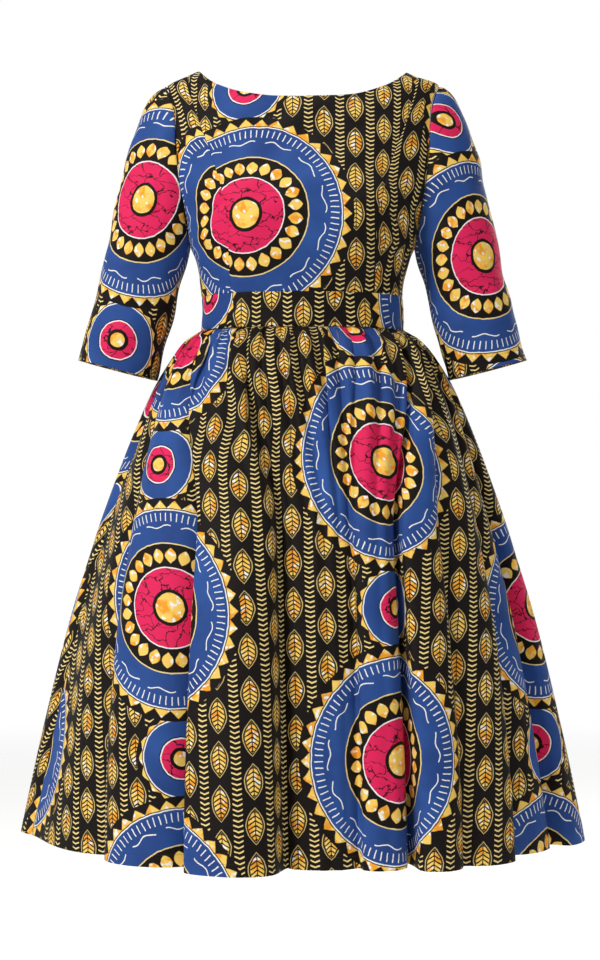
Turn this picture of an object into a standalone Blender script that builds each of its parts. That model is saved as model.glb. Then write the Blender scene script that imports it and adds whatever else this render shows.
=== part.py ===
"""A knee-length dress in printed cotton: a boat-necked bodice with princess seams, elbow sleeves,
a set-in waistband and a full gathered skirt, with a concealed zip at the centre back.

It hangs as it does when it is filled out, hollow, with its neck, cuffs and hem open.
Metres, +Z up, front towards -Y. The origin is where the wearer's shoulders hold it: midway between
the two neck ends of the shoulder seams. Left and right are the wearer's, so left is towards +X.
Tables are in millimetres and degrees, and heights in them are measured from the origin.
"""

import math

import bmesh
import bpy
import numpy as np
from mathutils import Matrix, Vector

MM = 0.001

# Cloth and seams
WALL = 1.2 * MM
SEAM = 0.3 * MM

# Heights of the main seams and edges, in millimetres from the shoulder
BODICE_FOOT = -322.0
WAIST = -370.0
HEM = -1087.0
ARMPIT = -250.0
SHOULDER_POINT = -20.0

# The torso, a row for each section: height, half width, depth in front and depth behind
TORSO = {
    "height": (-430, -370, -322, -300, -284, -266, -250, -215, -180, -145, -103, -62, -20, 0),
    "half_width": (144, 144, 144, 145.5, 148.5, 153, 160, 172, 184, 195, 204, 201, 195, 149),
    "front": (101, 101, 102, 107, 113, 119, 123, 122, 115, 102, 86, 73, 55, 47),
    "back": (96, 96, 96, 97, 99, 101, 102, 104, 103, 98, 87, 71, 50, 41),
}
SQUARENESS = 0.035  # how far the sections swell between their front and their sides
BUST = {"reach": 11.0, "out": 88.0, "height": -222.0, "wide": 44.0, "tall": 52.0}

# The neck edge, from the centre out to the neck end of the shoulder seam
NECKLINE = {
    "out": (0, 40, 72, 96, 122, 139, 149),
    "front": (-46, -45, -41, -34.5, -24, -11, 0),
    "back": (-30, -29, -26, -21.5, -15, -7, 0),
}
# The princess seam, from the waistband up to the shoulder seam
PRINCESS = {
    "height": (-322, -279, -234, -174, -122, -80, -39),
    "out": (101, 102, 103, 114, 130, 145, 157),
}
PRINCESS_TOP = -5.5  # where it meets the shoulder seam
NECK_FRONT = NECKLINE["front"][0]
NECK_BACK = NECKLINE["back"][0]

# The armhole, an oval seen from the side
ARMHOLE_FRONT = 50.0
ARMHOLE_BACK = 53.0
ARMHOLE_SCOOP = 0.16  # how much lower than halfway it is widest

# The sleeve, in the plane of the shoulders
SLEEVE_TILT = math.radians(14.5)
CUFF_CENTRE = (264.5, -4.0, -425.5)
CUFF_WIDE = 58.0
CUFF_DEEP = 47.0
CAP_HANDLE = (59.0, 0.0, -10.0)  # how far and which way the sleeve head leaves the shoulder
UNDERARM_HANDLE = 50.0
CUFF_HANDLE = 150.0
CAP_EASE = 9.0  # fullness of the sleeve head towards the front and the back
SLEEVE_HOLLOW = 13.0  # how far the outer line bends in above the elbow
BEND = 0.12  # below this slope out of the bodice, the sleeve head bends down from it

# The skirt's outline, a row for each section: height and half width
SKIRT = {
    "height": (-370, -375, -381, -393, -416, -439, -462, -508, -553, -599,
               -645, -691, -759, -828, -897, -965, -1034, -1087),
    "half_width": (143.5, 152, 162, 175, 191, 205, 217, 238, 257, 275,
                   292, 307, 329, 348, 365, 381, 396, 407),
}
DEPTH_SHARE = 0.70  # how fast the skirt grows deeper as it grows wider

# The rolls that the skirt hangs in, a row for each, from the centre back round by the wearer's right.
# Where the valley before it runs at the waist, at MIDWAY and at the hem, how deep that valley is and
# how far out the roll's crest comes at the hem, and how many gathers run into it at the waist.
ROLLS = (
    # waist, midway, hem, valley, crest, gathers
    (-180, -180, -180, -22, 6, 3),
    (-152, -156, -158, -44, 2, 3),
    (-128, -132, -135, -38, 8, 3),
    (-106, -110, -111, -44, 3, 1),
    (-90, -88, -87, -22, -36, 1),
    (-76, -61, -46, -50, -7, 1),
    (-58, -28, -22, -36, 24, 3),
    (-29, -6, -3, -40, -26, 5),
    (15, 13, 11, -36, -12, 4),
    (55, 27, 22, -54, 12, 1),
    (64, 40, 32, -12, 2, 1),
    (73, 57, 46, -52, -26, 1),
    (82, 77, 68, -46, -4, 1),
    (90, 90, 89, -30, 4, 1),
    (104, 109, 111, -44, 6, 3),
    (127, 132, 134, -40, 0, 3),
    (152, 156, 157, -46, 8, 3),
)
MIDWAY = 0.4  # share of the skirt's length
RIGHT_SIDE_ROLL = 4
LEFT_SIDE_ROLL = 13
ROLL_FULLNESS = 0.55  # below 1, a roll has a broad crest and steep sides
# How the folds change down the skirt: share of its length, share of the rolls' depth, gathers' depth
FOLDS = {
    "down": (0.0, 0.03, 0.09, 0.18, 0.30, 0.45, 0.63, 0.82, 1.0),
    "roll": (0.0, 0.08, 0.20, 0.36, 0.52, 0.68, 0.82, 0.92, 1.0),
    "gather": (4.5, 7.5, 8.5, 6.5, 3.2, 1.0, 0.0, 0.0, 0.0),
}
SKIRT_ROWS = (0.0, 0.014, 0.04, 0.09, 0.18, 0.32, 0.52, 0.76, 1.0)
COLUMNS_PER_GATHER = 4
COLUMNS_PER_ROLL = 8  # at the least
VALLEY_REACH = 0.06  # share of a roll over which a valley's direction is taken
CENTRE_REACH = 1e-4

# How finely the bodice and the sleeves are drawn. The bodice's rows meet the sleeve's columns.
ARMPIT_ROW = 0.22  # share of the side edge that lies under the armhole
ARMHOLE_STEPS = 12  # from the armpit up to the shoulder
PRINCESS_SHARE = 0.965  # share of the centre front's side edge that is princess seam
BACK_SIDE_SHARE = 0.88  # share of a back's side edge that lies below the shoulder seam
STEPS_ACROSS = {"centre_front": 14, "side_front": 7, "back": 10, "half_waistband": 12}
STEPS_ON_SHOULDER = 3
SLEEVE_ROWS = (0.0, 0.05, 0.12, 0.21, 0.32, 0.44, 0.58, 0.72, 0.86, 1.0)

# The zip, at the centre back. Its coil lies inside and its slider outside, just under the neck edge.
COIL_TOP = -38.0
COIL_FOOT = -520.0
COIL_WIDE = 5.0
COIL_THICK = 1.6
SLIDER_DOWN = 9.5  # from the neck edge to the slider's middle
SLIDER_WIDE = 4.4
SLIDER_LONG = 7.0
SLIDER_THICK = 2.6
EAR_THICK = 0.7
EAR_LONG = 2.4
EAR_SINK = 0.6  # how far the ears reach into the slider
EAR_COVER = 0.3  # how far they reach past the pin
PIN_RADIUS = 0.6
PIN_DOWN = 1.5  # from the slider's middle
PIN_INSET = 0.1  # how far its ends lie inside the ears' outer faces
PIN_SIDES = 24
EYE_RADIUS = 1.5
EYE_WIDE = 2.3
NECK_SIZE = (2.0, 3.4, 0.9)  # of the pull's narrow stretch: across, along and thick
NECK_DOWN = 2.6  # from the pin to the neck's middle
PULL_SHOULDER = 3.6  # from the pin to where the pull has its full width
PULL_LENGTH = 18.0
PULL_WIDE = 6.4
PULL_THICK = 1.1
SOFT_EDGE = {"slider": 0.5, "pull": 0.4}
PULL_LEAN = math.radians(8)  # how far the pull leans from the slider towards the cloth
PULL_CLEAR = 0.35

COLOURS = {
    "cloth": ((0.035, 0.10, 0.33), 0.72, 0.0),
    "coil": ((0.02, 0.02, 0.025), 0.5, 0.0),
    "metal": ((0.10, 0.16, 0.32), 0.35, 0.6),
}


def clear_scene():
    for thing in list(bpy.data.objects):
        bpy.data.objects.remove(thing, do_unlink=True)


def material_named(name):
    colour, roughness, metallic = COLOURS[name]
    found = bpy.data.materials.get(name) or bpy.data.materials.new(name)
    found.use_nodes = True
    shader = found.node_tree.nodes["Principled BSDF"]
    shader.inputs["Base Color"].default_value = (*colour, 1.0)
    shader.inputs["Roughness"].default_value = roughness
    shader.inputs["Metallic"].default_value = metallic
    return found


def smooth_between(at, places, values):
    """The value at a place, on a smooth curve through a table's rows that never overshoots them."""
    x = np.asarray(places, float)
    y = np.asarray(values, float)
    step = np.diff(x)
    rise = np.diff(y) / step
    slope = np.empty_like(x)
    slope[0], slope[-1] = rise[0], rise[-1]
    before, after = rise[:-1], rise[1:]
    same_way = before * after > 0
    w_before = 2 * step[1:] + step[:-1]
    w_after = step[1:] + 2 * step[:-1]
    safe_before = np.where(same_way, before, 1.0)
    safe_after = np.where(same_way, after, 1.0)
    inner = (w_before + w_after) / (w_before / safe_before + w_after / safe_after)
    slope[1:-1] = np.where(same_way, inner, 0.0)
    at = np.clip(at, x[0], x[-1])
    i = np.clip(np.searchsorted(x, at) - 1, 0, len(step) - 1)
    h = step[i]
    t = (at - x[i]) / h
    rest = 1 - t
    return (
        y[i] * (1 + 2 * t) * rest**2
        + slope[i] * h * t * rest**2
        + y[i + 1] * t**2 * (3 - 2 * t)
        - slope[i + 1] * h * t**2 * rest
    )


def torso_at(angle, height):
    """A point of the bodice's outer face. The angle runs from the centre front, 0, by the wearer's
    left, 90, to the centre back, 180."""
    wide = smooth_between(height, TORSO["height"], TORSO["half_width"])
    side = "front" if abs(angle) <= 90 else "back"
    deep = smooth_between(height, TORSO["height"], TORSO[side])
    turn = math.radians(angle)
    swell = 1 + SQUARENESS * math.sin(2 * turn) ** 2
    x = wide * math.sin(turn) * swell
    y = -deep * math.cos(turn) * swell
    if side == "front":
        across = (abs(x) - BUST["out"]) / BUST["wide"]
        up = (height - BUST["height"]) / BUST["tall"]
        y -= BUST["reach"] * math.exp(-(across**2) - up**2) * math.cos(turn)
    return np.array((x, y, height)) * MM


def angle_at_width(out, height, behind=False):
    """The angle at which the bodice is this far out at this height."""
    wide = smooth_between(height, TORSO["height"], TORSO["half_width"])
    angle = 0.0
    for _ in range(12):
        swell = 1 + SQUARENESS * math.sin(2 * angle) ** 2
        angle = math.asin(min(1.0, out / (wide * swell)))
    angle = math.degrees(angle)
    return 180 - angle if behind else angle


def angle_at_depth(depth, height, behind=False):
    """The angle at which the bodice is this far in front of, or behind, the shoulders' plane."""
    deep = smooth_between(height, TORSO["height"], TORSO["back" if behind else "front"])
    angle = math.pi / 2
    for _ in range(12):
        swell = 1 + SQUARENESS * math.sin(2 * angle) ** 2
        angle = math.acos(min(1.0, depth / (deep * swell)))
    angle = math.degrees(angle)
    return 180 - angle if behind else angle


def armhole_at(turn):
    """Angle and height of the bodice at a point of the armhole: turn 0 at the shoulder, 90 in
    front, 180 under the arm and 270 behind."""
    t = math.radians(turn)
    height = (SHOULDER_POINT + ARMPIT) / 2 + (SHOULDER_POINT - ARMPIT) / 2 * math.cos(t)
    behind = math.sin(t) < -1e-9
    reach = ARMHOLE_BACK if behind else ARMHOLE_FRONT
    depth = reach * abs(math.sin(t)) * (1 - ARMHOLE_SCOOP * math.cos(t))
    return angle_at_depth(depth, height, behind), height


def shoulder_seam_at(share):
    """Angle and height along the shoulder seam, from its neck end, 0, to the armhole, 1."""
    return 90.0, share * SHOULDER_POINT


def neckline_at(share, side):
    """How far out and how high the neck edge is, from its centre, 0, to the shoulder seam, 1."""
    out = NECKLINE["out"][-1] * math.sin(share * math.pi / 2)
    return out, smooth_between(out, NECKLINE["out"], NECKLINE[side])


def princess_at(share):
    """How far out and how high the princess seam is, from the waistband, 0, to the shoulder, 1."""
    height = BODICE_FOOT + share * (PRINCESS_TOP - BODICE_FOOT)
    shoulder = smooth_between(PRINCESS_TOP, TORSO["height"], TORSO["half_width"])
    heights = (*PRINCESS["height"], PRINCESS_TOP)
    return smooth_between(height, heights, (*PRINCESS["out"], shoulder)), height


def side_and_armhole_at(share, behind=False):
    """Angle and height up the side seam and then round the armhole to the shoulder."""
    if share <= ARMPIT_ROW:
        return 90.0, BODICE_FOOT + (ARMPIT - BODICE_FOOT) * share / ARMPIT_ROW
    turn = 180 * (1 - (share - ARMPIT_ROW) / (1 - ARMPIT_ROW))
    return armhole_at(360 - turn if behind else turn)


def patch(start, end, foot, top, across, up):
    """A place inside four edges, blended from all of them."""
    a, b = np.array(start(up)), np.array(end(up))
    c, d = np.array(foot(across)), np.array(top(across))
    corners = (
        (1 - across) * (1 - up) * np.array(start(0.0))
        + across * (1 - up) * np.array(end(0.0))
        + (1 - across) * up * np.array(start(1.0))
        + across * up * np.array(end(1.0))
    )
    return (1 - across) * a + across * b + (1 - up) * c + up * d - corners


def along_foot(first, last):
    """The bodice's lower edge, from one angle to another."""
    return lambda share: (first + (last - first) * share, BODICE_FOOT)


def princess_and_shoulder_at(share):
    """How far out and how high, up the princess seam and then in along the shoulder to the neck."""
    if share <= PRINCESS_SHARE:
        return princess_at(share / PRINCESS_SHARE)
    height = PRINCESS_TOP * (1 - share) / (1 - PRINCESS_SHARE)
    return smooth_between(height, TORSO["height"], TORSO["half_width"]), height


def centre_front_at(across, up):
    """A point of the centre front panel: across from -1 to 1, up from 0 to 1."""
    foot = princess_at(0.0)[0]
    out, height = patch(
        lambda share: (0.0, BODICE_FOOT + (NECK_FRONT - BODICE_FOOT) * share),
        princess_and_shoulder_at,
        lambda share: (foot * share, BODICE_FOOT),
        lambda share: neckline_at(share, "front"),
        abs(across),
        up,
    )
    return torso_at(math.copysign(angle_at_width(out, height), across), height)


def side_front_at(side, across, up):
    """A point of a side front panel, from the princess seam, 0, to the side, 1."""
    first = PRINCESS_TOP / SHOULDER_POINT

    def princess(share):
        out, height = princess_at(share)
        return angle_at_width(out, height), height

    angle, height = patch(
        princess,
        side_and_armhole_at,
        along_foot(princess(0.0)[0], 90.0),
        lambda share: shoulder_seam_at(first + (1 - first) * share),
        across,
        up,
    )
    return torso_at(side * angle, height)


def side_and_shoulder_at(share):
    """Angle and height up the side seam, round the back of the armhole and along the shoulder."""
    if share <= BACK_SIDE_SHARE:
        return side_and_armhole_at(share / BACK_SIDE_SHARE, behind=True)
    return shoulder_seam_at((1 - share) / (1 - BACK_SIDE_SHARE))


def back_at(side, across, up):
    """A point of a back panel, from the side, 0, to the centre back, 1."""

    def neckline(share):
        out, height = neckline_at(1 - share, "back")
        return angle_at_width(out, height, behind=True), height

    angle, height = patch(
        side_and_shoulder_at,
        lambda share: (180.0, BODICE_FOOT + (NECK_BACK - BODICE_FOOT) * share),
        along_foot(90.0, 180.0),
        neckline,
        across,
        up,
    )
    return torso_at(side * angle, height)


def waistband_at(angle, up):
    return torso_at(angle, WAIST + (BODICE_FOOT - WAIST) * up)


def sleeve_at(side, turn, down):
    """A point of a sleeve: turn 0 on the outside, 90 in front and 180 under the arm."""
    t = math.radians(turn)
    start = torso_at(*armhole_at(turn)) / MM
    start = start + np.array((SEAM / MM * (1 - math.cos(t)) / 2, 0, 0))
    axis = np.array((math.sin(SLEEVE_TILT), 0, -math.cos(SLEEVE_TILT)))
    outward = np.array((math.cos(SLEEVE_TILT), 0, math.sin(SLEEVE_TILT)))
    forward = np.array((0.0, -1.0, 0.0))
    end = (
        np.array(CUFF_CENTRE)
        + outward * CUFF_WIDE * math.cos(t)
        + forward * CUFF_DEEP * math.sin(t)
    )
    top = (1 + math.cos(t)) / 2
    leave = top * np.array(CAP_HANDLE) + (1 - top) * axis * UNDERARM_HANDLE
    leave = leave + forward * CAP_EASE * math.sin(t)
    arrive = axis * CUFF_HANDLE + np.array((SLEEVE_HOLLOW * top, 0, 0))
    a, b, c, d = start, start + leave, end - arrive, end
    u = 1 - down
    point = u**3 * a + 3 * u**2 * down * b + 3 * u * down**2 * c + down**3 * d
    return point * np.array((side, 1, 1)) * MM


def roll_row(i):
    """A roll's row of the table; past the last one it starts again, a whole turn further on."""
    turns, i = divmod(i, len(ROLLS))
    angles = [angle + 360 * turns for angle in ROLLS[i][:3]]
    return angles, *ROLLS[i][3:]


def skirt_at(place, down):
    """A point of the skirt. The place is counted in rolls from the centre back, and down runs from
    0 at the waistband to 1 at the hem."""
    i = int(math.floor(place))
    share = place - i
    angles, valley, crest, gathers = roll_row(i)
    next_angles, next_valley = roll_row(i + 1)[:2]
    first = smooth_between(down, (0, MIDWAY, 1), angles)
    last = smooth_between(down, (0, MIDWAY, 1), next_angles)
    turn = math.radians(first + (last - first) * share)

    height = WAIST + (HEM - WAIST) * down
    wide = smooth_between(-height, [-h for h in SKIRT["height"]], SKIRT["half_width"])
    grown = DEPTH_SHARE * (wide - SKIRT["half_width"][0])
    deep = (TORSO["front"] if math.cos(turn) > 0 else TORSO["back"])[1] + grown
    x, y = wide * math.sin(turn), -deep * math.cos(turn)
    out = np.array((math.sin(turn) / wide, -math.cos(turn) / deep))
    out = out / np.linalg.norm(out)

    roll_share = smooth_between(down, FOLDS["down"], FOLDS["roll"])
    gather_depth = smooth_between(down, FOLDS["down"], FOLDS["gather"])
    floor = valley + (next_valley - valley) * share
    lobe = math.sin(math.pi * share) ** ROLL_FULLNESS
    ripple = math.sin(math.pi * gathers * share) ** 2
    fold = (floor + (crest - floor) * lobe) * roll_share
    fold += gather_depth * (ripple - 0.5)
    x, y = np.array((x, y)) + out * fold
    return np.array((x, y, height)) * MM


def grid_of(surface, across, up, side=1, reach=None):
    """The points of a surface and its outward directions, a row for each step up. The side is -1
    where the surface is seen from behind when across runs to the right. A reach is how far to each
    side a direction is taken from, past the panel's edges too, where sharp folds would turn it."""
    step = 1e-4
    points, outward = [], []
    for v in up:
        for u in across:
            if reach is None:
                first, last = max(across[0], u - step), min(across[-1], u + step)
            else:
                first, last = u - reach, u + reach
            along = surface(last, v) - surface(first, v)
            rising = surface(u, min(1.0, v + step)) - surface(u, max(0.0, v - step))
            normal = np.cross(along, rising)
            points.append(surface(u, v))
            outward.append(side * normal / np.linalg.norm(normal))
    shape = (len(up), len(across), 3)
    return np.array(points).reshape(shape), np.array(outward).reshape(shape)


def drawn_in(points, sides):
    """The same grid with the edges named in sides moved in by half the seam's gap."""
    moved = points.copy()
    edges = {
        "start": (np.s_[:, 0], np.s_[:, 1]),
        "end": (np.s_[:, -1], np.s_[:, -2]),
        "foot": (np.s_[0], np.s_[1]),
        "top": (np.s_[-1], np.s_[-2]),
    }
    for name in sides:
        edge, inner = edges[name]
        way = points[inner] - points[edge]
        moved[edge] += way / np.linalg.norm(way, axis=1, keepdims=True) * SEAM / 2
    return moved


def cloth(name, grid, sides, side=1, tube=False, wall=WALL, material="cloth"):
    """A panel as a closed wall: its outer face is the grid, its inner face lies a wall's thickness
    further in, and the rim joins them."""
    points, outward = grid
    points = drawn_in(points, sides)
    rows, columns = points.shape[:2]
    vertices = np.concatenate((points.reshape(-1, 3), (points - wall * outward).reshape(-1, 3)))
    inner = rows * columns
    last = columns if tube else columns - 1
    faces = []
    for r in range(rows - 1):
        for c in range(last):
            d = (c + 1) % columns
            quad = (r * columns + c, r * columns + d, (r + 1) * columns + d, (r + 1) * columns + c)
            faces.append(quad)
            faces.append(tuple(inner + i for i in reversed(quad)))
    rim = []
    for c in range(last):
        d = (c + 1) % columns
        rim.append((d, c))
        rim.append(((rows - 1) * columns + c, (rows - 1) * columns + d))
    for r in range(0 if tube else rows - 1):
        rim.append((r * columns, (r + 1) * columns))
        rim.append(((r + 2) * columns - 1, (r + 1) * columns - 1))
    faces += [(b, a, a + inner, b + inner) for b, a in rim]
    if side < 0:
        faces = [tuple(reversed(face)) for face in faces]
    mesh = bpy.data.meshes.new(name)
    mesh.from_pydata(vertices.tolist(), [], faces)
    return placed(name, mesh, material)


def placed(name, mesh, material):
    thing = bpy.data.objects.new(name, mesh)
    bpy.context.scene.collection.objects.link(thing)
    mesh.materials.append(material_named(material))
    mesh.shade_smooth()
    mesh.set_sharp_from_angle(angle=math.radians(50))
    return thing


def evenly(first, last, steps):
    return [first + (last - first) * i / steps for i in range(steps + 1)]


def bodice_rows():
    under = [0.0, ARMPIT_ROW / 2]
    return under + evenly(ARMPIT_ROW, 1.0, ARMHOLE_STEPS)


def back_rows():
    below = [BACK_SIDE_SHARE * row for row in bodice_rows()]
    return below[:-1] + evenly(BACK_SIDE_SHARE, 1.0, STEPS_ON_SHOULDER)


def build_bodice():
    rows = bodice_rows()
    centre_rows = [PRINCESS_SHARE * row for row in rows] + [1.0]
    steps = STEPS_ACROSS
    centre = grid_of(centre_front_at, evenly(-1, 1, steps["centre_front"]), centre_rows)
    cloth("bodice_front_centre", centre, ("start", "end", "foot"))
    for word, side in (("left", 1), ("right", -1)):
        front_at = lambda u, v: side_front_at(side, u, v)
        rear_at = lambda u, v: back_at(side, u, v)
        edges = ("start", "end", "foot", "top")
        front = grid_of(front_at, evenly(0, 1, steps["side_front"]), rows, side)
        cloth(f"bodice_side_front_{word}", front, edges, side)
        back = grid_of(rear_at, evenly(0, 1, steps["back"]), back_rows(), side)
        cloth(f"bodice_back_{word}", back, ("start", "end", "foot"), side)


def build_waistband():
    edges = ("start", "end", "foot", "top")
    half = STEPS_ACROSS["half_waistband"]
    for name, first, last, steps in (
        ("waistband_front", -90, 90, 2 * half),
        ("waistband_back_left", 90, 180, half),
        ("waistband_back_right", -180, -90, half),
    ):
        cloth(name, grid_of(waistband_at, evenly(first, last, steps), evenly(0, 1, 2)), edges)


def skirt_columns(first, last):
    """Places along the skirt from one roll's start to another's, some to each gather."""
    columns = []
    for roll in range(first, last):
        steps = max(COLUMNS_PER_ROLL, ROLLS[roll][-1] * COLUMNS_PER_GATHER)
        columns += evenly(roll, roll + 1, steps)[:-1]
    return columns + [float(last)]


def build_skirt():
    panels = {
        "skirt_back_right": (0, RIGHT_SIDE_ROLL),
        "skirt_front": (RIGHT_SIDE_ROLL, LEFT_SIDE_ROLL),
        "skirt_back_left": (LEFT_SIDE_ROLL, len(ROLLS)),
    }
    for name, (first, last) in panels.items():
        grid = grid_of(skirt_at, skirt_columns(first, last), SKIRT_ROWS, -1, VALLEY_REACH)
        cloth(name, grid, ("start", "end", "foot"), -1)


def build_sleeves():
    turns = evenly(0, 360, 2 * ARMHOLE_STEPS)[:-1]
    for word, side in (("left", 1), ("right", -1)):
        surface = lambda u, v: sleeve_at(side, u, v)
        points, outward = grid_of(surface, turns, SLEEVE_ROWS, side)
        meet_the_bodice(points, outward, turns, side)
        cloth(f"sleeve_{word}", (points, outward), ("foot",), side, tube=True)


def meet_the_bodice(points, outward, turns, side):
    """Where the sleeve head bends down from the bodice, its wall ends square to the bodice."""
    for column, turn in enumerate(turns):
        angle, height = armhole_at(turn)
        normal = torso_normal(side * angle, height)
        leaving = points[1, column] - points[0, column]
        if leaving @ normal < BEND * np.linalg.norm(leaving):
            outward[0, column] = normal


def torso_normal(angle, height):
    step = 0.01
    along = torso_at(angle + step, height) - torso_at(angle - step, height)
    rising = torso_at(angle, height + step) - torso_at(angle, height - step)
    normal = np.cross(along, rising)
    return normal / np.linalg.norm(normal)


def centre_back():
    """Rows down the centre back, as points on the cloth's outer face with their outward directions."""
    bodice = grid_of(lambda u, v: back_at(1, u, v), [1.0], back_rows()[::-1], reach=CENTRE_REACH)
    band = grid_of(waistband_at, [180.0], [0.5], reach=CENTRE_REACH)
    skirt = grid_of(skirt_at, [0.0], SKIRT_ROWS, -1, VALLEY_REACH)
    points = np.concatenate([part[0][:, 0] for part in (bodice, band, skirt)])
    outward = np.concatenate([part[1][:, 0] for part in (bodice, band, skirt)])
    outward[:, 0] = 0
    return points, outward / np.linalg.norm(outward, axis=1, keepdims=True)


def build_coil():
    points, outward = centre_back()
    points = points - outward * (WALL + PULL_CLEAR * MM)
    heights = [z for z in points[:, 2] / MM if COIL_FOOT < z < COIL_TOP]
    heights = np.array([COIL_TOP, *heights, COIL_FOOT]) * MM
    path = np.zeros((len(heights), 3))
    way = np.zeros((len(heights), 3))
    for axis in (1, 2):
        path[:, axis] = np.interp(-heights, -points[:, 2], points[:, axis])
        way[:, axis] = np.interp(-heights, -points[:, 2], outward[:, axis])
    across = np.array((COIL_WIDE / 2 * MM, 0, 0))
    strip = np.stack((path + across, path - across), axis=1)[::-1]
    cloth("zip_coil", (strip, np.stack((way, way), axis=1)[::-1]), (), wall=COIL_THICK * MM, material="coil")


def zip_frame():
    """The slider's place on the cloth: X across, Y down the cloth, Z out of it."""
    points, _ = centre_back()
    top, below = points[0], points[1]
    down = (below - top) / np.linalg.norm(below - top)
    out = np.cross((1, 0, 0), down)
    place = top + down * SLIDER_DOWN * MM
    return Matrix(((1, down[0], out[0], place[0]),
                   (0, down[1], out[1], place[1]),
                   (0, down[2], out[2], place[2]),
                   (0, 0, 0, 1)))


def block(name, frame, centre, size, material="metal", soften=0.0):
    """A box in a frame, in millimetres, with its edges softened by a bevel."""
    mesh = bpy.data.meshes.new(name)
    shape = bmesh.new()
    bmesh.ops.create_cube(shape, size=1.0)
    for corner in shape.verts:
        corner.co = frame @ Vector([MM * (c + s * v) for c, s, v in zip(centre, size, corner.co)])
    if soften:
        bmesh.ops.bevel(shape, geom=shape.edges, offset=soften * MM, segments=2, affect="EDGES")
    shape.to_mesh(mesh)
    shape.free()
    return placed(name, mesh, material)


def pin(name, frame, centre, radius, length, material="metal"):
    """A round pin that lies across, along X, in a frame."""
    mesh = bpy.data.meshes.new(name)
    shape = bmesh.new()
    upright = Matrix.Rotation(math.pi / 2, 4, "Y")
    bmesh.ops.create_cone(shape, cap_ends=True, segments=PIN_SIDES, radius1=radius * MM,
                          radius2=radius * MM, depth=length * MM, matrix=upright)
    shape.transform(frame @ Matrix.Translation(Vector(centre) * MM))
    shape.to_mesh(mesh)
    shape.free()
    return placed(name, mesh, material)


def combine(target, tool, operation):
    """Add a tool to a piece, or cut it away, and keep the tool as a hidden guide."""
    change = target.modifiers.new(tool.name, "BOOLEAN")
    change.operation = operation
    change.object = tool
    tool.hide_render = True
    tool.display_type = "WIRE"


def build_slider_and_pull():
    frame = zip_frame()
    base = SEAM / MM
    top = base + SLIDER_THICK
    pin_out = top + EYE_RADIUS + PULL_CLEAR
    slider = block("zip_slider", frame, (0, 0, base + SLIDER_THICK / 2),
                   (SLIDER_WIDE, SLIDER_LONG, SLIDER_THICK), soften=SOFT_EDGE["slider"])
    foot, head = top - EAR_SINK, pin_out + PIN_RADIUS + EAR_COVER
    for side in (-1, 1):
        centre = (side * (SLIDER_WIDE - EAR_THICK) / 2, PIN_DOWN, (foot + head) / 2)
        ear = block(f"ear_guide_{side + 1}", frame, centre, (EAR_THICK, EAR_LONG, head - foot))
        combine(slider, ear, "UNION")
    pin_length = SLIDER_WIDE - 2 * PIN_INSET
    combine(slider, pin("pin_guide", frame, (0, PIN_DOWN, pin_out), PIN_RADIUS, pin_length), "UNION")

    hinge = frame @ Matrix.Translation(Vector((0, PIN_DOWN, pin_out)) * MM)
    hanging = hinge @ Matrix.Rotation(-PULL_LEAN, 4, "X")
    pull = block("zip_pull", hanging, (0, (PULL_SHOULDER + PULL_LENGTH) / 2, 0),
                 (PULL_WIDE, PULL_LENGTH - PULL_SHOULDER, PULL_THICK), soften=SOFT_EDGE["pull"])
    combine(pull, block("neck_guide", hanging, (0, NECK_DOWN, 0), NECK_SIZE), "UNION")
    combine(pull, pin("eye_guide", hanging, (0, 0, 0), EYE_RADIUS, EYE_WIDE), "UNION")
    hole = PIN_RADIUS + PULL_CLEAR
    combine(pull, pin("hole_guide", hanging, (0, 0, 0), hole, 2 * EYE_WIDE), "DIFFERENCE")


clear_scene()
build_bodice()
build_waistband()
build_skirt()
build_sleeves()
build_coil()
build_slider_and_pull()
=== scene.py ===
"""The looks of the printed cotton dress: its cloth with its creases and print, its sewing and its zip.

Metres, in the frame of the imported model: +Z up, front towards -Y, the wearer's left towards +X.
The tables that shape the cloth are those of the part's own source, in millimetres and degrees, so
that each panel lies on its solid. Sizes of the print are in centimetres on the flat cloth.
"""

import math

import bpy
import numpy as np
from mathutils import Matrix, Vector


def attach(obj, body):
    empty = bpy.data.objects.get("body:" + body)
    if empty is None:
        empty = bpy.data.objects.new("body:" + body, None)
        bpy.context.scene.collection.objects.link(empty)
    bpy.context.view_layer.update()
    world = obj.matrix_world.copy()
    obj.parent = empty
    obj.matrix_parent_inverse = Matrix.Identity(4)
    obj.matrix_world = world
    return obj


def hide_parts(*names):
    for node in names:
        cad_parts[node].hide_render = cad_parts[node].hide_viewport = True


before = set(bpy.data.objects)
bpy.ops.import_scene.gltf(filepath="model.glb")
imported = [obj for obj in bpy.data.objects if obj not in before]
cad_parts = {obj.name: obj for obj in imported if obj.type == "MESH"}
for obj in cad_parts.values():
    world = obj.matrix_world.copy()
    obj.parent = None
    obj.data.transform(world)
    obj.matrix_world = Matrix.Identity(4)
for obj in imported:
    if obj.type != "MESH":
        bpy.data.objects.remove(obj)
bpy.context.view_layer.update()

MM = 0.001
CM = 0.01
FULL_TURN = 2 * math.pi
SIDES = (("left", 1), ("right", -1))

# Heights of the main seams and edges, in millimetres from the shoulder
BODICE_FOOT = -322.0
WAIST = -370.0
HEM = -1087.0
ARMPIT = -250.0
SHOULDER_POINT = -20.0

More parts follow.
